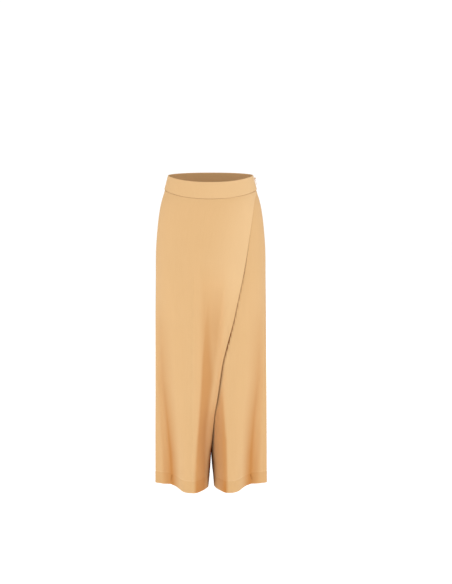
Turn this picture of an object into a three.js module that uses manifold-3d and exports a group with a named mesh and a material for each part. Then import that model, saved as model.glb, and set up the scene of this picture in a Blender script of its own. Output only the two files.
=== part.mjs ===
// Wrap-front palazzo trousers, worn form: waistband, four leg panels, a wrap panel over the
// front, and a zip in the wearer's left side seam.
// Millimetres, +Z up. The wearer faces -Y and the wearer's left is +X. The origin is the
// centre of the waist opening at half the height of the waistband.
import * as THREE from "three";
import { mergeVertices } from "three/addons/utils/BufferGeometryUtils.js";
import Module from "manifold-3d";

// Driving sizes
const TOP = 25; // height of the waist line, the level that depths are measured down from
const LENGTH = 920; // waist line to hem
const BAND_DEPTH = 45; // waist line to the level of the waist seam
const BAND_TOP = { dip: 5, rise: 8 }; // top edge: drop at the centre front, rise at the side seams
const WAIST_SEAM = { dip: 8.5, rise: 11 }; // the same for the waist seam, against its own level
const BACK_RISE = 2; // both edges rise this much more at the centre back
const DIP_ENDS = 125; // rows are level from here down
const WALL = 1.2; // one layer of cloth
const BAND_WALL = 2.8; // folded and faced waistband
const BAND_PROUD = 2.6; // the waistband stands this far out from the panels
const LAP = 2.6; // the wrap panel's outer face lies this far out from the panels
const LAP_FOLDS = 1.5; // it gets there over this many folds from the right side seam
const SEAM_TUCK = 1.6; // a panel under the wrap steps in this far where both enter the side seam
const HEM_TUCK = 1.3; // and this far at the hem, to clear the wrap's own hem
const HEM = 36; // height of the turned-up hem
const GAP = 0.3; // clearance between pieces at a seam
const CROTCH = 277; // depth of the crotch point
const CROTCH_CURVE = 200; // the crotch seam starts to curve under here
const CURVE_NEAR = 1.5; // the curve is full to this many folds from the centre
const CURVE_FAR = 4.5; // and gone from this many on
const BODY_ENDS = 330; // below this the section is the leg's alone
const BODY_STARTS = 150; // above this the section is the hips' alone
const ROUNDNESS = 2.3; // exponent of the hip section, 2 is an ellipse
const HEM_LEVEL = LENGTH - HEM;

// Hip sections, by depth
const HIPS = [
  { down: -14, half: 120.6, front: 88.3, back: 82.9 },
  { down: 25, half: 131.0, front: 93.5, back: 92 },
  { down: 45, half: 136.4, front: 96.0, back: 97 },
  { down: 64, half: 142.5, front: 98.5, back: 102 },
  { down: 88, half: 148.0, front: 101.0, back: 108 },
  { down: 135, half: 154.7, front: 104.5, back: 116 },
  { down: 183, half: 158.8, front: 106.5, back: 121 },
  { down: 229, half: 161.0, front: 107.5, back: 121 },
  { down: 277, half: 161.8, front: 108.0, back: 118 },
  { down: 340, half: 162.8, front: 108.0, back: 116 },
];

// Seams and folds round the left leg. turn is the angle round the hips from the side seam,
// and each pair is x and y at that level.
const LEVELS = { crotch: CROTCH, thigh: 455, shin: 685, hem: LENGTH };
const FRONT_FOLDS = [
  { at: "side seam", turn: 0, crotch: [161.8, 0], thigh: [164.7, 0], shin: [166.8, 0], hem: [168.5, 0] },
  { at: "side wing", turn: 12, crotch: [159, -24], thigh: [161, -20], shin: [158, -13], hem: [150, -9] },
  { at: "trough side", turn: 26, crotch: [149, -54], thigh: [150, -42], shin: [143, -26], hem: [126, -18] },
  { at: "trough front", turn: 38, crotch: [130, -82], thigh: [131, -68], shin: [124, -50], hem: [107, -32] },
  { at: "lobe rise", turn: 50, crotch: [107, -99], thigh: [109, -93], shin: [103, -82], hem: [94, -62] },
  { at: "lobe shoulder", turn: 58, crotch: [88, -105], thigh: [89, -104], shin: [86, -101], hem: [84, -90] },
  { at: "lobe outer", turn: 64, crotch: [71, -107.5], thigh: [72, -108], shin: [71, -109], hem: [71, -105] },
  { at: "front lobe", turn: 71, crotch: [53, -108], thigh: [54, -109], shin: [55, -110], hem: [55, -111] },
  { at: "lobe inner", turn: 77, crotch: [37, -102], thigh: [38, -103], shin: [40, -105], hem: [41, -106] },
  { at: "inner slope", turn: 82.5, crotch: [21, -84], thigh: [22, -84], shin: [25, -84], hem: [28, -84] },
  { at: "slope foot", turn: 86, crotch: [10, -58], thigh: [10, -58], shin: [13, -60], hem: [17, -62] },
  { at: "inner leg", turn: 88.5, crotch: [3, -27], thigh: [3, -28], shin: [6, -34], hem: [11.5, -38] },
  { at: "inseam", turn: 90, crotch: [0.3, 12], thigh: [0.4, 8], shin: [0.8, 4], hem: [11, 0] },
];
const BACK_FOLDS = [
  { at: "inseam", turn: 90, crotch: [0.3, 12], thigh: [0.4, 8], shin: [0.8, 4], hem: [11, 0] },
  { at: "inner leg", turn: 88.5, crotch: [2, 58], thigh: [2.5, 52], shin: [5, 45], hem: [12, 40] },
  { at: "slope foot", turn: 85, crotch: [8, 94], thigh: [9, 87], shin: [13, 78], hem: [20, 76] },
  { at: "inner slope", turn: 79, crotch: [25, 112], thigh: [26, 107], shin: [30, 101], hem: [38, 101] },
  { at: "seat lobe", turn: 70, crotch: [54, 119], thigh: [54, 115], shin: [56, 113], hem: [60, 113] },
  { at: "lobe outer", turn: 60, crotch: [82, 117], thigh: [81, 114], shin: [81, 111], hem: [84, 107] },
  { at: "lobe fall", turn: 49, crotch: [108, 107], thigh: [107, 103], shin: [104, 97], hem: [104, 88] },
  { at: "trough centre", turn: 36, crotch: [132, 87], thigh: [130, 80], shin: [126, 70], hem: [122, 64] },
  { at: "trough side", turn: 24, crotch: [149, 59], thigh: [149, 53], shin: [147, 45], hem: [142, 42] },
  { at: "side wing", turn: 12, crotch: [159, 28], thigh: [161, 25], shin: [161, 21], hem: [160, 21] },
  { at: "side seam", turn: 0, crotch: [161.8, 0], thigh: [164.7, 0], shin: [166.8, 0], hem: [168.5, 0] },
];
const LOBE = 7; // the front lobe's place in FRONT_FOLDS

// The wrap panel's free edge
const WRAP_EDGE = [
  { down: 45, x: 131.5 },
  { down: 58, x: 127.5 },
  { down: 93, x: 122.7 },
  { down: 172, x: 111 },
  { down: 270, x: 95.5 },
  { down: 341, x: 81 },
  { down: 410, x: 66.5 },
  { down: 466, x: 52 },
  { down: 539, x: 35.5 },
  { down: 631, x: 22.5 },
  { down: 716, x: 9 },
  { down: 790, x: 1 },
  { down: 865, x: -4.3 },
  { down: 920, x: -10.3 },
];
// How the wrap hangs from the right leg's front lobe to its free edge
const WRAP_HANG = [
  { down: 277, fallX: -20, fallY: -109, riseX: 40, riseY: -109, edgeY: -106 },
  { down: 341, fallX: -20, fallY: -106, riseX: 20, riseY: -97, edgeY: -106 },
  { down: 410, fallX: -22, fallY: -108, riseX: 6, riseY: -78, edgeY: -108 },
  { down: 539, fallX: -30, fallY: -110, riseX: 2, riseY: -66, edgeY: -104.5 },
  { down: 631, fallX: -32, fallY: -112, riseX: -2, riseY: -66, edgeY: -87 },
  { down: 716, fallX: -34, fallY: -113, riseX: -12, riseY: -60, edgeY: -54 },
  { down: 790, fallX: -34, fallY: -113, riseX: -18, riseY: -62, edgeY: -46 },
  { down: 920, fallX: -34, fallY: -113, riseX: -15, riseY: -66, edgeY: -31 },
];
const HANG_STARTS = 215; // the wrap leaves the belly between these depths
const HANG_TAKES_OVER = 330;
const HANG_CLEAR = 1.4; // the hanging part keeps this further out, so its long facets clear the legs

// The inside legs draw together by this much on each side, over this many folds from the inseam
const CLOSING = [
  { down: 640, by: 0 },
  { down: 740, by: 1.6 },
  { down: 800, by: 4.2 },
  { down: 835, by: 6.1 },
  { down: 865, by: 5.6 },
  { down: 890, by: 3.7 },
  { down: 920, by: 2.4 },
];
const CLOSING_REACH = 1.3;

// Side zip: its tape lies inside the left side seam, its slider is at the top of the waistband
const ZIP = { top: -5, bottom: 215, halfWidth: 11, inset: 1.7, wall: 1 };
const SLIDER = { down: 2, halfWidth: 3.2, halfLength: 4.5, plate: 1.1, cheek: 1.4, barRadius: 0.7 };
const PULL = { ring: 1.75, bore: 1.1, halfRing: 1.5, reach: 19, halfWidth: 3.6, wall: 1.2 };
const PLAY = 0.25; // between the pull and the slider
const PLATE_TOP = GAP + SLIDER.plate;
const BAR_OUT = PLATE_TOP + PLAY + PULL.ring;

const CLOTH = { roughness: 0.82, metalness: 0, side: THREE.FrontSide };
const COLOURS = {
  band: "#edc38d",
  wrap: "#e9be89",
  front: "#e8bd88",
  back: "#e3b67e",
  tape: "#e0b27a",
  zip: "#dcae74",
};

const clamp = THREE.MathUtils.clamp;
const smooth = (value, from, to) => THREE.MathUtils.smoothstep(value, from, to);
const radians = THREE.MathUtils.degToRad;

// Smooth value of a table's column against another column, without overshoot.
function column(rows, read, key) {
  const at = rows.map(read);
  const value = rows.map(key);
  const slope = value.slice(1).map((v, i) => (v - value[i]) / (at[i + 1] - at[i]));
  const tangent = value.map((_, i) => {
    const before = slope[i - 1] ?? slope[0];
    const after = slope[i] ?? slope[i - 1];
    return before * after <= 0 ? 0 : (2 * before * after) / (before + after);
  });
  return (where) => {
    const x = clamp(where, at[0], at[at.length - 1]);
    let i = 0;
    while (i < at.length - 2 && x > at[i + 1]) i += 1;
    const h = at[i + 1] - at[i];
    const t = (x - at[i]) / h;
    const rise = value[i + 1] - value[i];
    const a = h * tangent[i] - rise;
    const b = -h * tangent[i + 1] + rise;
    return value[i] + rise * t + t * (1 - t) * (a * (1 - t) + b * t);
  };
}

const byDown = (rows, key) => column(rows, (row) => row.down, (row) => row[key]);
const hips = {
  half: byDown(HIPS, "half"),
  front: byDown(HIPS, "front"),
  back: byDown(HIPS, "back"),
};
const closing = byDown(CLOSING, "by");

// One side's folds, as functions of depth, and the turn as a function of place.
function foldSet(folds) {
  const names = Object.keys(LEVELS);
  const axis = (row, k) =>
    column(names, (name) => LEVELS[name], (name) => row[name][k]);
  return {
    count: folds.length - 1,
    x: folds.map((row) => axis(row, 0)),
    y: folds.map((row) => axis(row, 1)),
    turn: column(folds.map((row, i) => ({ i, turn: row.turn })), (row) => row.i, (row) => row.turn),
  };
}
const front = foldSet(FRONT_FOLDS);
const back = foldSet(BACK_FOLDS);
const ring = [
  ...front.x.slice(0, -1).map((x, i) => ({ x, y: front.y[i] })),
  ...back.x.slice(0, -1).map((x, i) => ({ x, y: back.y[i] })),
];

// Point of the left leg's own section: place counts folds from the side seam by the front.
function legPoint(place, down) {
  const n = ring.length;
  const i = Math.floor(place);
  const t = place - i;
  const weights = [
    -0.5 * t + t * t - 0.5 * t ** 3,
    1 - 2.5 * t * t + 1.5 * t ** 3,
    0.5 * t + 2 * t * t - 1.5 * t ** 3,
    -0.5 * t * t + 0.5 * t ** 3,
  ];
  const point = new THREE.Vector2();
  weights.forEach((w, k) => {
    const fold = ring[(i - 1 + k + 2 * n) % n];
    point.x += w * fold.x(down);
    point.y += w * fold.y(down);
  });
  return point;
}

function hipPoint(turn, sign, down) {
  const power = 2 / ROUNDNESS;
  const depth = sign < 0 ? hips.front(down) : hips.back(down);
  const c = Math.cos(radians(turn));
  const s = Math.sin(radians(turn));
  return new THREE.Vector2(
    hips.half(down) * Math.max(c, 0) ** power,
    sign * depth * s ** power,
  );
}

// Left half of the garment: fold counts from the side seam to the centre, sign is -1 for the
// front and 1 for the back.
function bodyPoint(fold, sign, down) {
  const set = sign < 0 ? front : back;
  const place = sign < 0 ? fold : ring.length - fold;
  const turn = sign < 0 ? set.turn(fold) : set.turn(set.count - fold);
  const near = smooth(fold, set.count - CURVE_FAR, set.count - CURVE_NEAR);
  const t = clamp((down - CROTCH_CURVE) / (CROTCH - CROTCH_CURVE), 0, 1);
  const under = 1 - Math.sqrt(1 - t * t);
  const general = smooth(down, BODY_STARTS, BODY_ENDS);
  const weight = general + (under - general) * near;
  const point = hipPoint(turn, sign, down);
  if (weight > 0) point.lerp(legPoint(place, Math.max(down, LEVELS.crotch)), weight);
  point.x -= closing(down) * Math.exp(-(((set.count - fold) / CLOSING_REACH) ** 2));
  return new THREE.Vector3(point.x, point.y, TOP - down);
}

// How far an edge of the waistband lies below its own level.
function dipAt(turn, sign, edge) {
  const gain = sign < 0 ? edge.rise + edge.dip : -BACK_RISE;
  return gain * Math.sin(radians(turn)) ** 2 - edge.rise;
}
function rowDown(level, turn, sign) {
  const fade = clamp((DIP_ENDS - level) / (DIP_ENDS - BAND_DEPTH), 0, 1);
  return level + dipAt(turn, sign, WAIST_SEAM) * fade;
}

// A grid of points with its outward normals, from a function of column and row.
function grid(columns, rows, pointAt, step = 0.02, rowStep = 0.4) {
  const last = columns[columns.length - 1];
  return rows.map((row) =>
    columns.map((place) => {
      const a = pointAt(Math.max(place - step, columns[0]), row);
      const b = pointAt(Math.min(place + step, last), row);
      const up = pointAt(place, row - rowStep);
      const low = pointAt(place, row + rowStep);
      const normal = b.sub(a).cross(low.sub(up)).normalize();
      return { point: pointAt(place, row), normal, place, row };
    }),
  );
}

// Closed wall between two offsets of a grid, its outline drawn in by half a seam gap.
function wall(cells, outerAt, innerAt) {
  const rows = cells.length;
  const cols = cells[0].length;
  const layer = (offsetAt) =>
    cells.map((line) =>
      line.map((c) => c.point.clone().addScaledVector(c.normal, offsetAt(c.place, c.row))),
    );
  const layers = [layer(outerAt), layer(innerAt)];
  for (const points of layers) {
    for (const line of points) {
      pullIn(line[0], line[1]);
      pullIn(line[cols - 1], line[cols - 2]);
    }
    for (let j = 0; j < cols; j += 1) points[0][j].z -= GAP / 2;
  }
  const position = layers.flat(2).flatMap((p) => [p.x, p.y, p.z]);
  const index = [];
  const id = (layerIndex, i, j) => (layerIndex * rows + i) * cols + j;
  const quad = (a, b, c, d) => index.push(a, c, b, a, d, c);
  for (let i = 0; i < rows - 1; i += 1) {
    for (let j = 0; j < cols - 1; j += 1) {
      quad(id(0, i, j), id(0, i + 1, j), id(0, i + 1, j + 1), id(0, i, j + 1));
      quad(id(1, i, j), id(1, i, j + 1), id(1, i + 1, j + 1), id(1, i + 1, j));
    }
    quad(id(0, i, 0), id(1, i, 0), id(1, i + 1, 0), id(0, i + 1, 0));
    quad(id(0, i, cols - 1), id(0, i + 1, cols - 1), id(1, i + 1, cols - 1), id(1, i, cols - 1));
  }
  for (let j = 0; j < cols - 1; j += 1) {
    quad(id(0, 0, j), id(0, 0, j + 1), id(1, 0, j + 1), id(1, 0, j));
    quad(id(0, rows - 1, j), id(1, rows - 1, j), id(1, rows - 1, j + 1), id(0, rows - 1, j + 1));
  }
  const geometry = new THREE.BufferGeometry();
  geometry.setAttribute("position", new THREE.Float32BufferAttribute(position, 3));
  geometry.setIndex(index);
  return geometry;
}
function pullIn(point, towards) {
  point.addScaledVector(towards.clone().sub(point).normalize(), GAP / 2);
}

const mirrored = (point) => point.setX(-point.x);
const hemShare = (down) => (down > HEM_LEVEL ? 1 : 0);
const layersAt = (down) => WALL * (1 + hemShare(down));

// Rows of every panel, as depths, and columns as folds from the side seam
const ROWS = [
  BAND_DEPTH, 52, 64, 88, 125, 160, 192, 216, 236, 252, 264, 271.5, 277, 290, 318, 358,
  405, 455, 510, 570, 630, 690, 745, 795, 838, HEM_LEVEL - 0.6, HEM_LEVEL + 0.6, LENGTH,
];
const FRONT_COLUMNS = [0, 0.5, 1, 1.5, 2, 3, 4, 5, 6, 7, 7.6, 8.3, 9, 10, 11, 12];
const BACK_COLUMNS = [0, 0.5, 1, 2, 3, 4, 5, 6, 7, 8, 9, 10];

function legPanel(side, sign) {
  const columns = sign < 0 ? FRONT_COLUMNS : BACK_COLUMNS;
  const set = sign < 0 ? front : back;
  const order = side * sign < 0 ? columns : columns.map((c) => -c).reverse();
  const pointAt = (place, level) => {
    const fold = Math.abs(place);
    const turn = sign < 0 ? set.turn(fold) : set.turn(set.count - fold);
    const point = bodyPoint(fold, sign, rowDown(level, turn, sign));
    return side < 0 ? mirrored(point) : point;
  };
  const underWrap = side < 0 && sign < 0;
  const tuck = (place, down) => {
    if (!underWrap) return 0;
    const atSeam = 1 - smooth(Math.abs(place), 0, LAP_FOLDS);
    return -SEAM_TUCK * atSeam - HEM_TUCK * smooth(down, HEM_LEVEL - 90, HEM_LEVEL - 8);
  };
  return wall(
    grid(order, ROWS, pointAt),
    tuck,
    (place, down) => tuck(place, down) - layersAt(down),
  );
}

// Fold place on the front, where a value that falls from the side to the centre passes the target.
function foldWhere(valueAt, target) {
  let low = 0;
  let high = front.count;
  for (let i = 0; i < 30; i += 1) {
    const mid = (low + high) / 2;
    if (valueAt(mid) > target) low = mid;
    else high = mid;
  }
  return low;
}
const foldAtX = (x, down) => foldWhere((fold) => bodyPoint(fold, -1, down).x, x);
function frontAtX(x, down) {
  const point = bodyPoint(foldAtX(Math.abs(x), down), -1, down);
  return x < 0 ? mirrored(point) : point;
}
// Point round the front of the hips: the angle is 0 at the right side seam, 180 at the left.
function hipsAtAngle(angle, down) {
  const flat = hipPoint(angle > 90 ? 180 - angle : angle, -1, down);
  return new THREE.Vector3(angle > 90 ? flat.x : -flat.x, flat.y, TOP - down);
}

const edgeX = byDown(WRAP_EDGE, "x");
const hang = Object.fromEntries(
  ["fallX", "fallY", "riseX", "riseY", "edgeY"].map((key) => [key, byDown(WRAP_HANG, key)]),
);

// The more forward of two depths, with a short soft step between them.
function forward(a, b) {
  const soft = 1.5;
  return -soft * Math.log(Math.exp(-a / soft) + Math.exp(-b / soft));
}

// Point of the wrap beyond the right leg's front lobe: share runs from 0 there to 1 at the edge.
function spanPoint(share, down) {
  const lobe = mirrored(bodyPoint(LOBE, -1, down));
  const edge = frontAtX(Math.max(edgeX(down), 0.5), down);
  const lobeAngle = front.turn(LOBE);
  const edgeAngle = 180 - front.turn(foldAtX(edge.x, down));
  const onBelly = hipsAtAngle(THREE.MathUtils.lerp(lobeAngle, edgeAngle, share), down)
    .addScaledVector(lobe.clone().sub(hipsAtAngle(lobeAngle, down)), 1 - share)
    .addScaledVector(edge.clone().sub(hipsAtAngle(edgeAngle, down)), share);
  const free = smooth(down, HANG_STARTS, HANG_TAKES_OVER);
  if (free === 0) return onBelly;
  const line = new THREE.CubicBezierCurve(
    new THREE.Vector2(lobe.x, lobe.y),
    new THREE.Vector2(hang.fallX(down), hang.fallY(down)),
    new THREE.Vector2(hang.riseX(down), hang.riseY(down)),
    new THREE.Vector2(edgeX(down), hang.edgeY(down)),
  );
  const hung = line.getPoint(share);
  const beneath = frontAtX(hung.x, down);
  const clear = Math.abs(beneath.x - hung.x) < 0.5;
  const y = clear ? forward(hung.y, beneath.y - HANG_CLEAR) : hung.y;
  return onBelly.lerp(new THREE.Vector3(hung.x, y, TOP - down), free);
}

const LEG_COLUMNS = [0, 0.5, 1, 1.5, 2, 3, 4, 5, 6, 7];
const SPAN_SHARES = [0.09, 0.18, 0.27, 0.36, 0.45, 0.54, 0.63, 0.71, 0.78, 0.85, 0.91, 0.96, 1];

function wrapPanel() {
  const columns = [...LEG_COLUMNS, ...SPAN_SHARES.map((share) => LOBE + share)];
  const pointAt = (place, level) => {
    const at = (down) =>
      place <= LOBE ? mirrored(bodyPoint(place, -1, down)) : spanPoint(place - LOBE, down);
    const x = Math.abs(at(level).x);
    const turn = level < DIP_ENDS ? front.turn(foldAtX(x, level)) : 0;
    return at(rowDown(level, turn, -1));
  };
  const lift = (place) => LAP * smooth(place, 0, LAP_FOLDS);
  // Columns run from the right side seam towards the left, so the cells are turned about.
  const cells = grid(columns, ROWS, pointAt).map((line) =>
    line.map((c) => ({ ...c, normal: c.normal.negate() })).reverse(),
  );
  return wall(cells, lift, (place, down) => lift(place) - layersAt(down));
}

// One half of the waistband, from the left side seam round to the right.
function bandHalf(sign) {
  const turns = [];
  for (let turn = 0; turn <= 180; turn += 6) turns.push(turn);
  const order = sign < 0 ? turns : turns.map((t) => -t).reverse();
  const pointAt = (place, share) => {
    const angle = Math.abs(place);
    const turn = angle > 90 ? 180 - angle : angle;
    const top = dipAt(turn, sign, BAND_TOP);
    const low = BAND_DEPTH - 2 * GAP + dipAt(turn, sign, WAIST_SEAM);
    const down = THREE.MathUtils.lerp(top, low, share);
    const flat = hipPoint(turn, sign, down);
    return new THREE.Vector3(angle > 90 ? -flat.x : flat.x, flat.y, TOP - down);
  };
  const cells = grid(order, [0, 0.5, 1], pointAt, 0.5, 0.01);
  return wall(cells, () => BAND_PROUD, () => BAND_PROUD - BAND_WALL);
}

const root = new THREE.Group();
function add(name, geometry, colour, extra = {}) {
  const material = new THREE.MeshStandardMaterial({ ...CLOTH, color: colour, ...extra });
  const mesh = new THREE.Mesh(geometry, material);
  mesh.name = name;
  root.add(mesh);
  return mesh;
}

add("waistband_front", bandHalf(-1), COLOURS.band);
add("waistband_back", bandHalf(1), COLOURS.band);
add("front_left", legPanel(1, -1), COLOURS.front);
add("back_left", legPanel(1, 1), COLOURS.back);
add("front_right", legPanel(-1, -1), COLOURS.front);
add("back_right", legPanel(-1, 1), COLOURS.back);
add("front_overlay", wrapPanel(), COLOURS.wrap);

// Side zip
function tape() {
  const across = [-1, -0.5, 0, 0.5, 1].map((share) => share * ZIP.halfWidth);
  const down = [ZIP.top, BAND_DEPTH, 88, 125, 160, ZIP.bottom];
  const pointAt = (place, level) => {
    const depth = place > 0 ? hips.front(level) : hips.back(level);
    const share = (1 - (Math.abs(place) / depth) ** ROUNDNESS) ** (1 / ROUNDNESS);
    return new THREE.Vector3(hips.half(level) * share, -place, TOP - level);
  };
  return wall(grid(across, down, pointAt), () => -ZIP.inset, () => -ZIP.inset - ZIP.wall);
}

const wasm = await Module();
wasm.setup();
function toSolid(geometry) {
  const bare = new THREE.BufferGeometry();
  const loose = geometry.index ? geometry.toNonIndexed() : geometry;
  bare.setAttribute("position", loose.getAttribute("position"));
  const merged = mergeVertices(bare, 1e-4);
  return new wasm.Manifold(
    new wasm.Mesh({
      numProp: 3,
      vertProperties: merged.attributes.position.array,
      triVerts: new Uint32Array(merged.index.array),
    }),
  );
}
function union(geometries) {
  const mesh = wasm.Manifold.union(geometries.map(toSolid)).getMesh();
  const joined = new THREE.BufferGeometry();
  joined.setAttribute("position", new THREE.Float32BufferAttribute(mesh.vertProperties, 3));
  joined.setIndex([...mesh.triVerts]);
  return joined.toNonIndexed();
}
// A box given by its lowest and highest corner.
function block(low, high) {
  const size = high.map((v, i) => v - low[i]);
  const box = new THREE.BoxGeometry(...size);
  return box.translate(...high.map((v, i) => (v + low[i]) / 2));
}

// Slider and pull are drawn with the cloth's face at x = 0, x out, y along the bar and z up.
function slider() {
  const { halfWidth, halfLength, cheek, barRadius } = SLIDER;
  const cheekTop = BAR_OUT + barRadius + 0.3;
  const bar = new THREE.CylinderGeometry(barRadius, barRadius, 2 * (halfWidth - cheek / 2), 16);
  return union([
    block([GAP, -halfWidth, -halfLength], [PLATE_TOP, halfWidth, halfLength]),
    block([PLATE_TOP - 0.1, -halfWidth, -1.4], [cheekTop, cheek - halfWidth, 1.4]),
    block([PLATE_TOP - 0.1, halfWidth - cheek, -1.4], [cheekTop, halfWidth, 1.4]),
    bar.translate(BAR_OUT, 0, 0),
  ]);
}
function pull() {
  const { ring: radius, bore, halfRing, reach, halfWidth, wall: thick } = PULL;
  const eye = new THREE.Shape().absarc(0, 0, radius, 0, 2 * Math.PI);
  eye.holes.push(new THREE.Path().absarc(0, 0, bore, 0, 2 * Math.PI, true));
  const eyeSolid = new THREE.ExtrudeGeometry(eye, {
    depth: 2 * halfRing,
    bevelEnabled: false,
    curveSegments: 8,
  });
  eyeSolid.translate(0, 0, -halfRing).rotateX(Math.PI / 2);
  const drop = new THREE.Shape();
  drop.moveTo(-halfRing, -1.35);
  drop.lineTo(-halfRing, -4.6);
  drop.bezierCurveTo(-halfRing, -8, -halfWidth, -10, -halfWidth, 3.6 - reach);
  drop.absarc(0, 3.6 - reach, halfWidth, Math.PI, 2 * Math.PI);
  drop.bezierCurveTo(halfWidth, -10, halfRing, -8, halfRing, -4.6);
  drop.lineTo(halfRing, -1.35);
  const tab = new THREE.ExtrudeGeometry(drop, { depth: thick, bevelEnabled: false, curveSegments: 5 });
  // The outline is drawn across and up, and its thickness becomes the way out.
  tab.rotateX(Math.PI / 2).rotateZ(Math.PI / 2);
  tab.translate(-radius, 0, 0);
  return union([eyeSolid, tab]).translate(BAR_OUT, 0, 0);
}

const lean = Math.atan2(hips.half(SLIDER.down + 10) - hips.half(SLIDER.down - 10), 20);
const fitting = new THREE.Group();
fitting.rotation.y = -lean;
fitting.position.set(
  hips.half(SLIDER.down) + BAND_PROUD * Math.cos(lean),
  0,
  TOP - SLIDER.down + BAND_PROUD * Math.sin(lean),
);
root.add(fitting);
add("zip_tape", tape(), COLOURS.tape);
const METAL = { roughness: 0.35, metalness: 0.1 };
fitting.add(add("zip_slider", slider(), COLOURS.zip, METAL));
fitting.add(add("zip_pull", pull(), COLOURS.zip, METAL));

export default root;
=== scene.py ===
"""Wrap-front palazzo trousers in honey-yellow crepe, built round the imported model.

Each panel is laid out as a grid of points on the cut's own surface, which tables of sections by
depth describe. The grid is moved outwards by the soft creases, and closed into a thin shell. The
cut is in millimetres, and the meshes are in metres. The front faces -Y, and +X is the wearer's left.
"""

import math

import bpy
import numpy as np
from mathutils import Matrix, Vector


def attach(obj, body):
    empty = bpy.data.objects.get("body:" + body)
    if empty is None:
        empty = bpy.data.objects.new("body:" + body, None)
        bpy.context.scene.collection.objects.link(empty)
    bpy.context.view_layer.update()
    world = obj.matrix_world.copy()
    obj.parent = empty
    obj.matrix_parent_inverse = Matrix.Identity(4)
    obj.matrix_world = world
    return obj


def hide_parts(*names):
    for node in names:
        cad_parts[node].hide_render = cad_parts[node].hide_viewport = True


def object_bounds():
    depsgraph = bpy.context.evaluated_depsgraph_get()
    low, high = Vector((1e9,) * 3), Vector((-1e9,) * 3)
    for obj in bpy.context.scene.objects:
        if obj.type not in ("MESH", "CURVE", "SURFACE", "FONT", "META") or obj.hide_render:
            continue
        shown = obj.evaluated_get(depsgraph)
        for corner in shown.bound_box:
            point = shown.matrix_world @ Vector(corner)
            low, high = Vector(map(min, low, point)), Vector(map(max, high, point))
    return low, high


bl_info = {
    "name": "Wrap-front palazzo trousers",
    "version": (1, 0, 0),
    "blender": (4, 5, 0),
    "location": "3D View > Sidebar > Trousers",
    "description": "Builds the cloth, zip and studio of wrap-front trousers round their packed model",
    "category": "Add Mesh",
}

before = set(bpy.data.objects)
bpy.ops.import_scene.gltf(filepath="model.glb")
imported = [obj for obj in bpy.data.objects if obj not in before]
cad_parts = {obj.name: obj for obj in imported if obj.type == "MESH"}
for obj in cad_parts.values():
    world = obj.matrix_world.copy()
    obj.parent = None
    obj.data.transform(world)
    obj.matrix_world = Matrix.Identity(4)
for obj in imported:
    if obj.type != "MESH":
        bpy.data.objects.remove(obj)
CAD_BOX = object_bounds()
MM = 0.001  # the model's unit is the metre
BODY = "garment"

# ---------------------------------------------------------------- the cut, in millimetres
# Depths are measured down from the waist line, which the top edge of the waistband follows.
TOP = 25.0  # height of the waist line above the origin
LENGTH = 920.0
BAND_DEPTH = 45.0
BAND_TOP = (5.0, 8.0)  # the top edge's drop at the centre front and its rise at the side seams
WAIST_SEAM = (8.5, 11.0)  # the same for the waist seam, against its own level
BACK_RISE = 2.0  # how much higher both lie at the centre back than at the side seams
DIP_ENDS = 125.0  # rows below this depth no longer follow the waist seam
CROTCH = 277.0
CROTCH_CURVE = 200.0  # depth where the centre seams start to curve under the body
CURVE_NEAR = 1.5  # folds from the centre that take the whole curve
CURVE_FAR = 4.5  # folds from the centre that take none of it
BODY_STARTS = 150.0  # depth where the hips' section starts to turn into the legs' sections
BODY_ENDS = 330.0
ROUNDNESS = 2.3  # power of the rounded oval that the hips' section follows

# The hips' section: half its width, and its depth in front and behind, at each of HIP_DOWN.
HIP_DOWN = (-14, 25, 45, 64, 88, 135, 183, 229, 277, 340)
HIPS = {
    "half": (120.6, 131.0, 136.4, 142.5, 148.0, 154.7, 158.8, 161.0, 161.8, 162.8),
    "front": (88.3, 93.5, 96.0, 98.5, 101.0, 104.5, 106.5, 107.5, 108.0, 108.0),
    "back": (82.9, 92, 97, 102, 108, 116, 121, 121, 118, 116),
}

# Folds round the left leg: name, turn round the hips, then x, y at each of LEVELS.
LEVELS = (CROTCH, 455, 685, LENGTH)
FRONT_FOLDS = (
    ("side seam", 0, (161.8, 0), (164.7, 0), (166.8, 0), (168.5, 0)),
    ("side wing", 12, (159, -24), (161, -20), (158, -13), (150, -9)),
    ("trough side", 26, (149, -54), (150, -42), (143, -26), (126, -18)),
    ("trough front", 38, (130, -82), (131, -68), (124, -50), (107, -32)),
    ("lobe rise", 50, (107, -99), (109, -93), (103, -82), (94, -62)),
    ("lobe shoulder", 58, (88, -105), (89, -104), (86, -101), (84, -90)),
    ("lobe outer", 64, (71, -107.5), (72, -108), (71, -109), (71, -105)),
    ("front lobe", 71, (53, -108), (54, -109), (55, -110), (55, -111)),
    ("lobe inner", 77, (37, -102), (38, -103), (40, -105), (41, -106)),
    ("inner slope", 82.5, (21, -84), (22, -84), (25, -84), (28, -84)),
    ("slope foot", 86, (10, -58), (10, -58), (13, -60), (17, -62)),
    ("inner leg", 88.5, (3, -27), (3, -28), (6, -34), (11.5, -38)),
    ("inseam", 90, (0.3, 12), (0.4, 8), (0.8, 4), (11, 0)),
)
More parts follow.
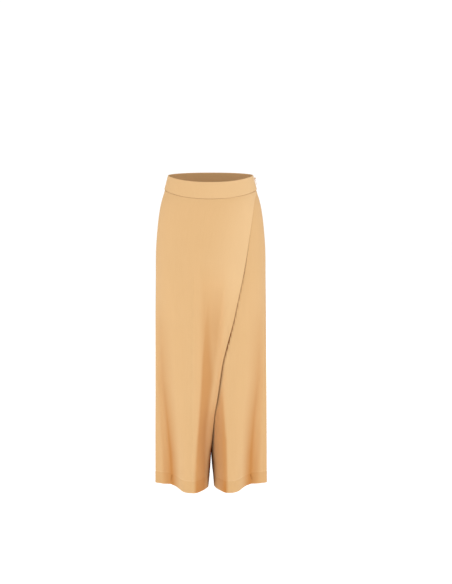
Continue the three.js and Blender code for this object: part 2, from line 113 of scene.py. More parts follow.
BACK_FOLDS = (
    ("inseam", 90, (0.3, 12), (0.4, 8), (0.8, 4), (11, 0)),
    ("inner leg", 88.5, (2, 58), (2.5, 52), (5, 45), (12, 40)),
    ("slope foot", 85, (8, 94), (9, 87), (13, 78), (20, 76)),
    ("inner slope", 79, (25, 112), (26, 107), (30, 101), (38, 101)),
    ("seat lobe", 70, (54, 119), (54, 115), (56, 113), (60, 113)),
    ("lobe outer", 60, (82, 117), (81, 114), (81, 111), (84, 107)),
    ("lobe fall", 49, (108, 107), (107, 103), (104, 97), (104, 88)),
    ("trough centre", 36, (132, 87), (130, 80), (126, 70), (122, 64)),
    ("trough side", 24, (149, 59), (149, 53), (147, 45), (142, 42)),
    ("side wing", 12, (159, 28), (161, 25), (161, 21), (160, 21)),
    ("side seam", 0, (161.8, 0), (164.7, 0), (166.8, 0), (168.5, 0)),
)
LOBE = 7  # the front lobe's place among the front folds
FRONT_COUNT = len(FRONT_FOLDS) - 1
BACK_COUNT = len(BACK_FOLDS) - 1
RING = FRONT_FOLDS[:-1] + BACK_FOLDS[:-1]

# Free edge of the wrap: depth and x.
WRAP_EDGE = (
    (45, 131.5), (58, 127.5), (93, 122.7), (172, 111), (270, 95.5), (341, 81), (410, 66.5),
    (466, 52), (539, 35.5), (631, 22.5), (716, 9), (790, 1), (865, -4.3), (920, -10.3),
)
# How the wrap hangs from the right leg's front lobe to that edge: depth, fall x and y, rise x
# and y, edge y.
WRAP_HANG = (
    (277, -20, -109, 40, -109, -106),
    (341, -20, -106, 20, -97, -106),
    (410, -22, -108, 6, -78, -108),
    (539, -30, -110, 2, -66, -104.5),
    (631, -32, -112, -2, -66, -87),
    (716, -34, -113, -12, -60, -54),
    (790, -34, -113, -18, -62, -46),
    (920, -34, -113, -15, -66, -31),
)
HANG_STARTS = 215.0  # down to this depth the wrap follows the belly
HANG_TAKES_OVER = 330.0  # from this depth on it hangs as the table says
HANG_CLEAR = 1.4  # least distance between the wrap and the panel under it
SOFT_STEP = 1.5  # length of the step where the wrap comes to rest on that panel
SEAM_TUCK = 1.6  # how far the panel under the wrap is drawn in at its side seam
HEM_TUCK = 1.3  # and at its hem
# The inside legs draw together by this much on each side, over this many folds from the inseam.
CLOSING_DOWN = (640, 740, 800, 835, 865, 890, 920)
CLOSING_BY = (0, 1.6, 4.2, 6.1, 5.6, 3.7, 2.4)
CLOSING_REACH = 1.3


def smooth(value, start, end):
    """0 before start, 1 after end, and a soft step between them."""
    t = np.clip((np.asarray(value, float) - start) / (end - start), 0, 1)
    return t * t * (3 - 2 * t)


def column(at, value):
    """Smooth function through a table's column, without overshoot."""
    at, value = np.asarray(at, float), np.asarray(value, float)
    slope = np.diff(value) / np.diff(at)
    before = np.concatenate([slope[:1], slope])
    after = np.concatenate([slope, slope[-1:]])
    total = before + after
    tangent = np.where(before * after > 0, 2 * before * after / np.where(total == 0, 1, total), 0)

    def read(where):
        x = np.clip(where, at[0], at[-1])
        i = np.clip(np.searchsorted(at, x, side="left") - 1, 0, len(at) - 2)
        h = at[i + 1] - at[i]
        t = (x - at[i]) / h
        rise = value[i + 1] - value[i]
        a = h * tangent[i] - rise
        b = -h * tangent[i + 1] + rise
        return value[i] + rise * t + t * (1 - t) * (a * (1 - t) + b * t)

    return read


hip = {name: column(HIP_DOWN, values) for name, values in HIPS.items()}
fold_x = [column(LEVELS, [pair[0] for pair in row[2:]]) for row in RING]
fold_y = [column(LEVELS, [pair[1] for pair in row[2:]]) for row in RING]
front_turn = column(range(FRONT_COUNT + 1), [row[1] for row in FRONT_FOLDS])
back_turn = column(range(BACK_COUNT + 1), [row[1] for row in BACK_FOLDS])
closing = column(CLOSING_DOWN, CLOSING_BY)
edge_x = column([r[0] for r in WRAP_EDGE], [r[1] for r in WRAP_EDGE])
hang = [column([r[0] for r in WRAP_HANG], [r[k] for r in WRAP_HANG]) for k in range(1, 6)]


def leg_point(place, down):
    """x and y of the left leg's own section; place counts folds from the side seam by the front."""
    place, down = np.broadcast_arrays(np.asarray(place, float), np.asarray(down, float))
    i = np.floor(place).astype(int)
    t = place - i
    weights = (
        -0.5 * t + t * t - 0.5 * t**3,
        1 - 2.5 * t * t + 1.5 * t**3,
        0.5 * t + 2 * t * t - 1.5 * t**3,
        -0.5 * t * t + 0.5 * t**3,
    )
    near = [((i - 1 + k) % len(RING))[None] for k in range(4)]
    section = []
    for folds in (fold_x, fold_y):
        table = np.stack([read(down) for read in folds])
        section.append(sum(w * np.take_along_axis(table, n, 0)[0] for w, n in zip(weights, near)))
    return section


def hip_point(turn, sign, down):
    """x and y of the hips' section. sign is -1 for the front and 1 for the back."""
    power = 2 / ROUNDNESS
    angle = np.radians(turn)
    depth = hip["front"](down) if sign < 0 else hip["back"](down)
    x = hip["half"](down) * np.maximum(np.cos(angle), 0) ** power
    return x, sign * depth * np.maximum(np.sin(angle), 0) ** power


def turn_of(fold, sign):
    """Turn round the hips of a fold, counted from the side seam."""
    return front_turn(fold) if sign < 0 else back_turn(BACK_COUNT - fold)


def folds_to_centre(sign):
    """Folds between the side seam and the centre."""
    return FRONT_COUNT if sign < 0 else BACK_COUNT


def body_point(fold, sign, down):
    """x and y of the left half. fold counts from the side seam to the centre."""
    count = folds_to_centre(sign)
    place = fold if sign < 0 else len(RING) - fold
    near = smooth(fold, count - CURVE_FAR, count - CURVE_NEAR)
    t = np.clip((down - CROTCH_CURVE) / (CROTCH - CROTCH_CURVE), 0, 1)
    under = 1 - np.sqrt(1 - t * t)
    general = smooth(down, BODY_STARTS, BODY_ENDS)
    weight = general + (under - general) * near
    hx, hy = hip_point(turn_of(fold, sign), sign, down)
    lx, ly = leg_point(place, np.maximum(down, LEVELS[0]))
    inward = closing(down) * np.exp(-(((count - fold) / CLOSING_REACH) ** 2))
    return hx + (lx - hx) * weight - inward, hy + (ly - hy) * weight


def dip_at(turn, sign, edge):
    """How far an edge of the waistband lies below its own level."""
    dip, rise = edge
    gain = rise + dip if sign < 0 else -BACK_RISE
    return gain * np.sin(np.radians(turn)) ** 2 - rise


def row_down(level, turn, sign):
    """Depth of a row, which follows the waist seam's dip and is level lower down."""
    fade = np.clip((DIP_ENDS - level) / (DIP_ENDS - BAND_DEPTH), 0, 1)
    return level + dip_at(turn, sign, WAIST_SEAM) * fade


def fold_at_x(x, down):
    """Fold place on the left front where the surface passes that x."""
    low = np.zeros(np.broadcast(x, down).shape)
    high = low + FRONT_COUNT
    for _ in range(22):
        middle = (low + high) / 2
        beyond = body_point(middle, -1, down)[0] > x
        low = np.where(beyond, middle, low)
        high = np.where(beyond, high, middle)
    return low


def front_at_x(x, down):
    """x and y of the front at that x, on whichever leg it is."""
    found, y = body_point(fold_at_x(np.abs(x), down), -1, down)
    return np.where(x < 0, -found, found), y


def hips_at_angle(angle, down):
    """x and y round the front of the hips, from 0 at the right side seam to 180 at the left."""
    x, y = hip_point(np.where(angle > 90, 180 - angle, angle), -1, down)
    return np.where(angle > 90, x, -x), y


def forward(a, b):
    """The more forward of two depths, with a short soft step between them."""
    return -SOFT_STEP * np.logaddexp(-a / SOFT_STEP, -b / SOFT_STEP)


def span_point(share, down):
    """x and y of the wrap beyond the right leg's front lobe, share running from there to 1 at its edge."""
    share, down = np.broadcast_arrays(share, down)
    lobe_x, lobe_y = body_point(LOBE, -1, down)
    lobe_x = -lobe_x
    edge_fold = fold_at_x(np.maximum(edge_x(down), 0.5), down)
    end_x, end_y = body_point(edge_fold, -1, down)
    lobe_angle = front_turn(LOBE)
    edge_angle = 180 - front_turn(edge_fold)
    belly_x, belly_y = hips_at_angle(lobe_angle + (edge_angle - lobe_angle) * share, down)
    for angle, x, y, part in (
        (lobe_angle, lobe_x, lobe_y, 1 - share),
        (edge_angle, end_x, end_y, share),
    ):
        near_x, near_y = hips_at_angle(angle, down)
        belly_x = belly_x + (x - near_x) * part
        belly_y = belly_y + (y - near_y) * part
    fall_x, fall_y, rise_x, rise_y, edge_y = (read(down) for read in hang)
    a, b, c, d = (1 - share) ** 3, 3 * share * (1 - share) ** 2, 3 * share**2 * (1 - share), share**3
    hung_x = a * lobe_x + b * fall_x + c * rise_x + d * edge_x(down)
    hung_y = a * lobe_y + b * fall_y + c * rise_y + d * edge_y
    under_x, under_y = front_at_x(hung_x, down)
    over = np.abs(under_x - hung_x) < 0.5
    hung_y = np.where(over, forward(hung_y, under_y - HANG_CLEAR), hung_y)
    free = smooth(down, HANG_STARTS, HANG_TAKES_OVER)
    return belly_x + (hung_x - belly_x) * free, belly_y + (hung_y - belly_y) * free


# ---------------------------------------------------------------- the surfaces each piece is laid on


def placed(x, y, down):
    """Points at x, y and a depth below the waist line."""
    return np.stack(np.broadcast_arrays(x, y, TOP - down), axis=-1)


def leg_surface(side, sign):
    """Points of one leg panel, by fold place from its side seam and by level."""

    def at(place, level):
        place, level = np.broadcast_arrays(place, level)
        down = row_down(level, turn_of(place, sign), sign)
        x, y = body_point(place, sign, down)
        return placed(side * x, y, down)

    return at


def wrap_surface(place, level):
    """Points of the wrap: folds of the right leg up to its front lobe, then shares of the span."""
    place, level = np.broadcast_arrays(place, level)
    on_leg = place <= LOBE

    def section(down):
        leg_x, leg_y = body_point(np.minimum(place, LOBE), -1, down)
        span_x, span_y = span_point(np.clip(place - LOBE, 0, 1), down)
        return np.where(on_leg, -leg_x, span_x), np.where(on_leg, leg_y, span_y)

    turn = np.where(level < DIP_ENDS, front_turn(fold_at_x(np.abs(section(level)[0]), level)), 0)
    down = row_down(level, turn, -1)
    x, y = section(down)
    return placed(x, y, down)


def band_surface(sign):
    """Points of half the waistband, by turn from the left side seam and by share of its depth."""

    def at(place, share):
        place, share = np.broadcast_arrays(place, share)
        turn = np.where(place > 90, 180 - place, place)
        top = dip_at(turn, sign, BAND_TOP)
        low = BAND_DEPTH - SEAM_GAP + dip_at(turn, sign, WAIST_SEAM)
        down = top + (low - top) * share
        x, y = hip_point(turn, sign, down)
        return placed(np.where(place > 90, -x, x), y, down)

    return at


def tape_surface(place, level):
    """Points inside the left side seam, by distance to the front of it and by level."""
    place, level = np.broadcast_arrays(place, level)
    depth = np.where(place > 0, hip["front"](level), hip["back"](level))
    share = (1 - (np.abs(place) / depth) ** ROUNDNESS) ** (1 / ROUNDNESS)
    return placed(hip["half"](level) * share, -place, level)


# ---------------------------------------------------------------- grids, creases and closed sheets

EDGE_STEPS = np.array((0, 0.7, 1.6, 3, 5, 8, 11.4, 12.4, 16))  # columns crowd towards a seam
FULL_ROW = 60.0  # rows shorter than this have those columns closer together
PROBES = 200  # points along a row that measure its length
CROWDED = (-6, -3.2, -1.6, -0.7, 0, 0.7, 1.6, 3.2, 6)  # rows set round a level that needs them
LEAST_STEP = 1.5  # an even row that lies nearer than this to one of those is left out
ALLOWANCE = 12.0  # width of the seam allowances pressed open inside
ALLOWANCE_THICK = 0.8
HEM = 36.0
HEM_LEVEL = LENGTH - HEM
HEM_FADE = 0.6  # half the height of the step from single to doubled cloth
EASE_REACH = 24.0  # a sharp turn is rounded this far up and down from its level
EASE_PASSES = 8
SWAY = 0.04  # how far a crease wanders from its line, in folds
CREASE_FADE = 0.35  # share of a crease's length over which it fades at either end
# The fold shade that this shapes is painted into the cloth's colour.
FOLD_SHADE_CURVE = 1.3  # power by which a fold's tone rises and fades
ROLL_WIDTH = 1.5  # width of the turned-in face at a seam
PUCKER = 0.16
PUCKER_WIDTH = 6.0
RIM_BULGE = 0.8  # how round a sheet's edge is, against half its thickness
RIM_LIMIT = 0.6  # and against the width of its outermost column


def eased(point, levels, at):
    """Grid of points with a sharp turn at one level rounded, by averaging neighbouring rows."""
    weight = np.exp(-(((levels - at) / EASE_REACH) ** 2))[..., None]
    for _ in range(EASE_PASSES):
        beside = (np.roll(point, 1, axis=0) + np.roll(point, -1, axis=0)) / 2
        point = point + weight * (beside - point) / 2
    return point


def lay_out(at, first, last, levels, step, steps=EDGE_STEPS, ease_at=None):
    """Grid of points on a surface, in rows of even columns that crowd towards both ends."""
    levels = np.asarray(levels, float)[:, None]
    fine = np.linspace(first, last, PROBES)
    probe = at(fine[None, :], levels)
    run = np.cumsum(np.linalg.norm(np.diff(probe, axis=1), axis=2), axis=1)
    run = np.hstack([np.zeros((len(levels), 1)), run])
    count = int(run[:, -1].max() / step)
    across = []
    for length in run[:, -1]:
        near = steps * min(1, length / FULL_ROW)
        middle = np.linspace(near[-1], length - near[-1], count)[1:-1]
        across.append(np.concatenate([near, middle, length - near[::-1]]))
    across = np.array(across)
    place = np.array([np.interp(d, r, fine) for d, r in zip(across, run)])
    point = at(place, levels)
    if ease_at is not None:
        point = eased(point, levels, ease_at)
    normal = np.cross(np.gradient(point, axis=1), np.gradient(point, axis=0))
    normal /= np.linalg.norm(normal, axis=2)[..., None]
    middle = len(levels) // 2
    turned = normal[middle, 0, 0] * point[middle, 0, 0] < 0
    return {
        "point": point,
        "normal": -normal if turned else normal,
        "turned": turned,
        "place": place,
        "level": np.broadcast_to(levels, place.shape),
        "across": across,
        "length": run[:, -1:],
        "run": run,
        "fine": fine,
        "fine_x": probe[..., 0],
    }


def ticks(first, last, step, fine_at):
    """Levels from first to last, with extra ones crowded round those in fine_at."""
    even = np.linspace(first, last, int((last - first) / step) + 1)
    extra = [stop + shift for stop in fine_at for shift in CROWDED]
    extra = np.array([first, last] + [e for e in extra if first < e < last])
    far = np.abs(even[:, None] - extra[None, :]).min(axis=1) > LEAST_STEP
    return np.unique(np.concatenate([even[far], extra]))


def creases(sheet, table):
    """Soft ridges and troughs, in mm outwards, along lines drawn from one place to another."""
    level = sheet["level"][:, 0]
    rise = np.zeros(sheet["place"].shape)
    for top, low, start, end, width, height in table:
        share = np.clip((level - start) / (end - start), 0, 1)
        line = top + (low - top) * share + SWAY * np.sin(share * 5 + top)
        centre = np.array([np.interp(p, sheet["fine"], r) for p, r in zip(line, sheet["run"])])
        reach = CREASE_FADE * (end - start)
        fade = smooth(level, start, start + reach) * (1 - smooth(level, end - reach, end))
        off = (sheet["across"] - centre[:, None]) / width
        rise += height * fade[:, None] * np.exp(-off * off)
    return rise


def past_line(sheet, line):
    """Distance in mm past a line, away from the side seam, and the line's own width and strength."""
    at, x, full, strength = (np.array(values, float) for values in zip(*line))
    level = sheet["level"][:, 0]
    wanted = np.interp(level, at, x)
    centre = []
    for target, row, run in zip(wanted, sheet["fine_x"], sheet["run"]):
        way = 1 if row[-1] > row[0] else -1
        centre.append(np.interp(target * way, np.maximum.accumulate(row * way), run))
    past = sheet["across"] - np.array(centre)[:, None]
    return past, np.interp(level, at, full)[:, None], np.interp(level, at, strength)[:, None]


def painted_fold_shade(sheet, table):
    """How much shade is painted into the cloth's colour down in its folds, from 0 to 1."""
    tone = np.zeros(sheet["place"].shape)
    for before, after, rest, line in table:
        past, full, strength = past_line(sheet, line)
        rise = np.clip(1 + past / before, 0, 1) ** FOLD_SHADE_CURVE
        fade = np.clip(1 - (past - full) / after, 0, 1) ** FOLD_SHADE_CURVE
        tone = np.maximum(tone, strength * rise * (rest + (1 - rest) * fade))
    return tone


def drift(sheet, seed):
    """Slow unevenness of cloth that hangs, in mm: two waves, one long and one shorter."""
    u, v = sheet["across"], sheet["level"]
    return (
        0.35 * np.sin(u / 31 + seed + v / 210) * np.sin(v / 118 + 1.7 * seed)
        + 0.2 * np.sin(u / 14 - v / 330 + 2.3 * seed) * np.sin(v / 67 + seed)
    )


def seam_roll(sheet, both=True):
    """How far the face turns in at the seams along its sides, with the pucker that stitching leaves."""
    ends = [sheet["across"], sheet["length"] - sheet["across"]][: 2 if both else 1]
    v = sheet["level"]
    rise = 0
    for k, d in enumerate(ends):
        pucker = PUCKER * np.sin(v / 2.1 + 2 * np.sin(v / 23 + k)) * np.sin(v / 37 + 2 * k)
        rise = rise + pucker * np.exp(-((d / PUCKER_WIDTH) ** 2))
        rise = rise - SEAM_DEPTH * np.exp(-((d / ROLL_WIDTH) ** 2))
    return rise


def allowances(sheet):
    """Extra thickness inside, where the seam allowances lie pressed open."""
    nearest = np.minimum(sheet["across"], sheet["length"] - sheet["across"])
    return ALLOWANCE_THICK * (1 - smooth(nearest, ALLOWANCE - 0.4, ALLOWANCE + 0.4))


def outline(rows, cols):
    """Row and column of each vertex round a grid, in order."""
    round_it = [(0, c) for c in range(cols - 1)]
    round_it += [(r, cols - 1) for r in range(rows - 1)]
    round_it += [(rows - 1, c) for c in range(cols - 1, 0, -1)]
    round_it += [(r, 0) for r in range(rows - 1, 0, -1)]
    return np.array(round_it).T


def smooth_faces(mesh):
    """Shades every face of a mesh smooth."""
    mesh.polygons.foreach_set("use_smooth", np.ones(len(mesh.polygons), bool))


def rim_rings(face, back, rims):
    """Draws in the edges of a sheet's two sides, and gives the rings of points that round its rim."""
    rows, cols = face.shape[:2]
    r, c = outline(rows, cols)
    down = np.where(r == 0, 1, np.where(r == rows - 1, -1, 0))
    along = np.where(c == 0, 1, np.where(c == cols - 1, -1, 0))
    away = face[r, c] - face[r + down, c + along]
    first_step = np.linalg.norm(away, axis=1)[:, None]
    away /= first_step
    half = np.linalg.norm(face[r, c] - back[r, c], axis=1)[:, None] / 2
    bulge = np.minimum(RIM_BULGE * half, RIM_LIMIT * first_step)
    face[r, c] -= away * bulge
    back[r, c] -= away * bulge
    middle = (face[r, c] + back[r, c]) / 2
    reach = (face[r, c] - back[r, c]) / 2
    turns = [math.pi * k / (rims + 1) for k in range(1, rims + 1)]
    return [middle + reach * math.cos(turn) + away * bulge * math.sin(turn) for turn in turns]


def shell_quads(rows, cols, rims):
    """Quads of a closed sheet: its face, its back, and the strips round its rim."""
    index = np.arange(rows * cols).reshape(rows, cols)
    face = np.stack([index[:-1, :-1], index[:-1, 1:], index[1:, 1:], index[1:, :-1]], -1).reshape(-1, 4)
    quads = [face, face[:, ::-1] + rows * cols]
    edge = index[tuple(outline(rows, cols))]
    size = len(edge)
    chain = [edge] + [2 * rows * cols + k * size + np.arange(size) for k in range(rims)]
    chain.append(edge + rows * cols)
    for near, far in zip(chain, chain[1:]):
        quads.append(np.stack([np.roll(near, -1), near, far, np.roll(far, -1)], -1))
    return np.concatenate(quads)


def shell(name, sheet, outer, thickness, tags=None, rims=3):
    """Closed sheet of cloth, from a grid, its face outer mm out from the surface and its edges rounded."""
    rows, cols = sheet["place"].shape
    normal = sheet["normal"]
    face = sheet["point"] + normal * np.asarray(outer)[..., None]
    back = face - normal * np.broadcast_to(thickness, (rows, cols))[..., None]
    rings = rim_rings(face, back, rims)
    points = np.concatenate([face.reshape(-1, 3), back.reshape(-1, 3), *rings])
    quads = shell_quads(rows, cols, rims)
    if not sheet["turned"]:
        quads = quads[:, ::-1]
    mesh = bpy.data.meshes.new(name)
    mesh.from_pydata((points * MM).tolist(), [], quads.tolist())
    smooth_faces(mesh)
    # Each vertex takes its place on the cut and its tags from the grid point that it comes from.
    r, c = outline(rows, cols)
    source = np.concatenate([np.arange(rows * cols)] * 2 + [r * cols + c] * rims)
    corner = np.empty(len(mesh.loops), np.int32)
    mesh.loops.foreach_get("vertex_index", corner)
    flat = np.stack([sheet["across"], LENGTH - sheet["level"]], -1).reshape(-1, 2)
    cut = mesh.uv_layers.new(name="cut")
    cut.data.foreach_set("uv", (flat[source][corner] * MM).astype(np.float32).ravel())
    for tag, value in (tags or {}).items():
        layer = mesh.attributes.new(tag, "FLOAT", "POINT")
        spread = np.broadcast_to(value, (rows, cols)).reshape(-1)[source]
        layer.data.foreach_set("value", spread.astype(np.float32))
    mesh.validate()
    piece = bpy.data.objects.new(name, mesh)
    bpy.context.scene.collection.objects.link(piece)
    return piece


# ---------------------------------------------------------------- materials

# A Mix node that mixes colours. Its inputs are 0, the factor, and 6 and 7, the two colours.
COLOUR_MIX = {"data_type": "RGBA", "clamp_factor": True}
BAND_SPACING = 0.314  # spacing of a wave texture's bands at scale 1


def linear(code):
    """sRGB hex colour to linear RGB and full alpha."""
    parts = [int(code[i : i + 2], 16) / 255 for i in (1, 3, 5)]
    return (*(c / 12.92 if c <= 0.04045 else ((c + 0.055) / 1.055) ** 2.4 for c in parts), 1.0)


def set_inputs(tree, node, inputs):
    """Gives each input its value, or the socket that feeds it."""
    for key, value in inputs.items():
        if isinstance(value, bpy.types.NodeSocket):
            tree.links.new(value, node.inputs[key])
        else:
            node.inputs[key].default_value = value


def add_node(tree, kind, inputs=None, **settings):
    """A node with its settings and inputs."""
    node = tree.nodes.new(kind)
    for key, value in settings.items():
        setattr(node, key, value)
    set_inputs(tree, node, inputs or {})
    return node


def new_material(name):
    """An empty material with one shader, its node tree and that shader."""
    material = bpy.data.materials.new(name)
    material.use_nodes = True
    tree = material.node_tree
    tree.nodes.clear()
    shader = add_node(tree, "ShaderNodeBsdfPrincipled")
    out = add_node(tree, "ShaderNodeOutputMaterial", {"Surface": shader.outputs[0]})
    out.is_active_output = True
    return material, tree, shader


def shared(name, make, colours):
    """The material of that name, made for the first piece that wears it."""
    return bpy.data.materials.get(name) or make(name, colours)


def crepe(name, colours):
    """Matte woven crepe: a fine pebble in the face, yarns of slightly uneven tone, a trace of nap."""
    material, tree, shader = new_material(name)
    cut = add_node(tree, "ShaderNodeUVMap", uv_map="cut").outputs[0]
    # The crepe's pebble is about 0.6 mm across. It is drawn at 1.6 mm so that it shows.
    drawn = add_node(tree, "ShaderNodeVectorMath", {0: cut, 1: (1.0, 0.62, 1.0)}, operation="MULTIPLY")
    pebble = add_node(
        tree, "ShaderNodeTexNoise",
        {"Vector": drawn.outputs[0], "Scale": 1000 / 1.6, "Detail": 2.0, "Roughness": 0.55},
    ).outputs[0]
    # Warp yarns are 0.3 mm apart. Groups of them, 3 mm wide and 70 mm long, differ a little in tone.
    along = add_node(tree, "ShaderNodeVectorMath", {0: cut, 1: (330.0, 14.0, 1.0)}, operation="MULTIPLY")
    yarn = add_node(
        tree, "ShaderNodeTexNoise",
        {"Vector": along.outputs[0], "Scale": 1.0, "Detail": 2.0, "Roughness": 0.5},
    ).outputs[0]
    # The dye takes a little unevenly, over about 120 mm.
    cloud = add_node(tree, "ShaderNodeTexNoise", {"Vector": cut, "Scale": 8.0, "Detail": 1.0}).outputs[0]
    tone = 0.0
    for pattern, share in ((pebble, 0.45), (yarn, 0.35), (cloud, 0.2)):
        summed = add_node(tree, "ShaderNodeMath", {0: pattern, 1: share, 2: tone}, operation="MULTIPLY_ADD")
        tone = summed.outputs[0]
    tags = {
        tag: add_node(tree, "ShaderNodeAttribute", attribute_name=tag).outputs["Fac"]
        for tag in ("facing", "fold", "gap", "hem")
    }
    # Over the yarns' own tone go a painted highlight, painted shade down in the folds, and painted shade
    # along covered edges and at the fork of the legs.
    colour = colours.crepe_deep
    for factor, tint in (
        (tone, colours.crepe_light),
        (tags["facing"], colours.facing),
        (tags["fold"], colours.fold),
        (tags["gap"], colours.gap),
    ):
        colour = add_node(tree, "ShaderNodeMix", {0: factor, 6: colour, 7: tint}, **COLOUR_MIX).outputs[2]
    doubled = add_node(
        tree, "ShaderNodeMix", {0: tags["hem"], 6: (1.0, 1.0, 1.0, 1.0), 7: colours.hem_shade}, **COLOUR_MIX
    ).outputs[2]
    shaded = add_node(tree, "ShaderNodeVectorMath", {0: colour, 1: doubled}, operation="MULTIPLY")
    height = add_node(tree, "ShaderNodeMath", {0: yarn, 1: 0.3, 2: pebble}, operation="MULTIPLY_ADD")
    bump = add_node(
        tree, "ShaderNodeBump", {"Height": height.outputs[0], "Strength": 0.3, "Distance": 0.4 * MM}
    )
    # The nap catches no light where shade is painted along edges and at the fork, so its sheen and gloss
    # fade out there.
    lit = add_node(tree, "ShaderNodeMath", {0: 1.0, 1: tags["gap"]}, operation="SUBTRACT", use_clamp=True)
    gloss, sheen = (
        add_node(tree, "ShaderNodeMath", {0: lit.outputs[0], 1: amount}, operation="MULTIPLY").outputs[0]
        for amount in (0.25, 0.12)
    )
    set_inputs(tree, shader, {
        "Base Color": shaded.outputs[0], "Normal": bump.outputs[0], "Roughness": 0.88,
        "Specular IOR Level": gloss, "Sheen Weight": sheen, "Sheen Roughness": 0.5,
        "Sheen Tint": linear("#fff0d8"),
    })
    return material


def polyester_tape(name, colours):
    """Plain woven polyester zip tape: matte, with a fine rib across it."""
    material, tree, shader = new_material(name)
    cut = add_node(tree, "ShaderNodeUVMap", uv_map="cut").outputs[0]
    # Ribs are 0.5 mm apart. They are drawn at 1 mm so that they show.
    rib = add_node(
        tree, "ShaderNodeTexWave",
        {"Vector": cut, "Scale": BAND_SPACING / MM, "Distortion": 0.6, "Detail": 1.0},
        wave_type="BANDS", bands_direction="Y",
    ).outputs[1]
    # Each rib's shaded side is painted in the deeper colour.
    colour = add_node(tree, "ShaderNodeMix", {0: rib, 6: colours.tape_deep, 7: colours.tape}, **COLOUR_MIX)
    bump = add_node(tree, "ShaderNodeBump", {"Height": rib, "Strength": 0.5, "Distance": 0.3 * MM})
    set_inputs(tree, shader, {
        "Base Color": colour.outputs[2], "Normal": bump.outputs[0], "Roughness": 0.8,
    })
    return material


def nylon(name, colours):
    """Extruded nylon coil: smooth, faintly translucent in tone, with a soft shine."""
    material, tree, shader = new_material(name)
    place = add_node(tree, "ShaderNodeTexCoord").outputs["Object"]
    # Clouding of about 1 mm, as wide as a turn of the coil.
    speck = add_node(tree, "ShaderNodeTexNoise", {"Vector": place, "Scale": 900.0, "Detail": 1.0})
    colour = add_node(
        tree, "ShaderNodeMix", {0: speck.outputs[0], 6: colours.tape_deep, 7: colours.enamel}, **COLOUR_MIX
    )
    set_inputs(tree, shader, {"Base Color": colour.outputs[2], "Roughness": 0.38, "IOR": 1.53})
    return material


def enamel(name, colours):
    """Baked enamel on zinc: even colour, soft gloss, and a faint orange-peel skin."""
    material, tree, shader = new_material(name)
    place = add_node(tree, "ShaderNodeTexCoord").outputs["Object"]
    # Orange peel of about 1.2 mm.
    peel = add_node(
        tree, "ShaderNodeTexNoise", {"Vector": place, "Scale": 1000 / 1.2, "Detail": 1.0}
    ).outputs[0]
    colour = add_node(
        tree, "ShaderNodeMix", {0: peel, 6: colours.enamel_deep, 7: colours.enamel}, **COLOUR_MIX
    )
    bump = add_node(tree, "ShaderNodeBump", {"Height": peel, "Strength": 0.15, "Distance": 0.2 * MM})
    set_inputs(tree, shader, {
        "Base Color": colour.outputs[2], "Normal": bump.outputs[0], "Roughness": 0.32, "IOR": 1.52,
        "Coat Weight": 0.3, "Coat Roughness": 0.15,
    })
    return material


# ---------------------------------------------------------------- what a user would change


def colour_property(name, description, code):
    """A colour that the user can change, given as sRGB hex."""
    return bpy.props.FloatVectorProperty(
        name=name, description=description, default=linear(code), size=4, min=0, max=1, subtype="COLOR"
    )


class TrouserSizes(bpy.types.PropertyGroup):
    """Sizes of the cloth and of its mesh"""
    cloth: bpy.props.FloatProperty(
        name="Cloth", description="Thickness of one layer of crepe", default=0.001, min=0.0005,
        max=0.003, unit="LENGTH",
    )
    band: bpy.props.FloatProperty(
        name="Waistband", description="Thickness of the folded and faced waistband", default=0.0028,
        min=0.001, max=0.004, unit="LENGTH",
    )
    creasing: bpy.props.FloatProperty(
        name="Creasing", description="Depth of the soft creases, 1 as worn", default=1.0, min=0, max=2,
        subtype="FACTOR",
    )
    step: bpy.props.FloatProperty(
        name="Mesh step", description="Distance between the rows and columns of a panel",
        default=0.0055, min=0.003, max=0.02, unit="LENGTH",
    )


class TrouserColours(bpy.types.PropertyGroup):
    """Colours of the cloth, the zip and the studio"""
    crepe_light: colour_property("Crepe, light yarns", "Lighter tone of the crepe", "#e9c08c")
    crepe_deep: colour_property("Crepe, deep yarns", "Deeper tone of the crepe", "#e0b37c")
    # Painted shade: the crepe's colour down in its folds and hollows.
    fold: colour_property("Fold", "Tone that the crepe takes on down in its folds", "#ca8742")
    # Painted shade along edges that another layer shades, at the fork of the legs and in the hem's pinches.
    gap: colour_property("Gap", "Tone along an edge that another layer shades", "#722f02")
    hem_shade: colour_property("Hem shade", "Filter over the crepe where the hem doubles it", "#fbf9f4")
    # Painted highlight: the crepe paler along the wrap's edge, over the waistband and along the top of the
    # hem.
    facing: colour_property("Facing", "Crepe along the wrap's faced edge", "#edc592")
    tape: colour_property("Tape", "Zip tape", "#e0b27a")
    tape_deep: colour_property("Tape, ribs", "Shaded side of the zip tape's ribs", "#cf9f68")
    enamel: colour_property("Enamel", "Slider and pull", "#dcae74")
    enamel_deep: colour_property("Enamel, deep", "Deeper tone of the slider and pull", "#d4a468")
    floor: colour_property("Floor", "Studio floor", "#f4f3f1")
    backdrop: colour_property("Backdrop", "Studio surround", "#ffffff")


class TrouserSettings(bpy.types.PropertyGroup):
    """All that a user can change"""
    sizes: bpy.props.PointerProperty(type=TrouserSizes, name="Sizes", description="Sizes of the cloth")
    colours: bpy.props.PointerProperty(type=TrouserColours, name="Colours", description="Colours")


# ---------------------------------------------------------------- the pieces

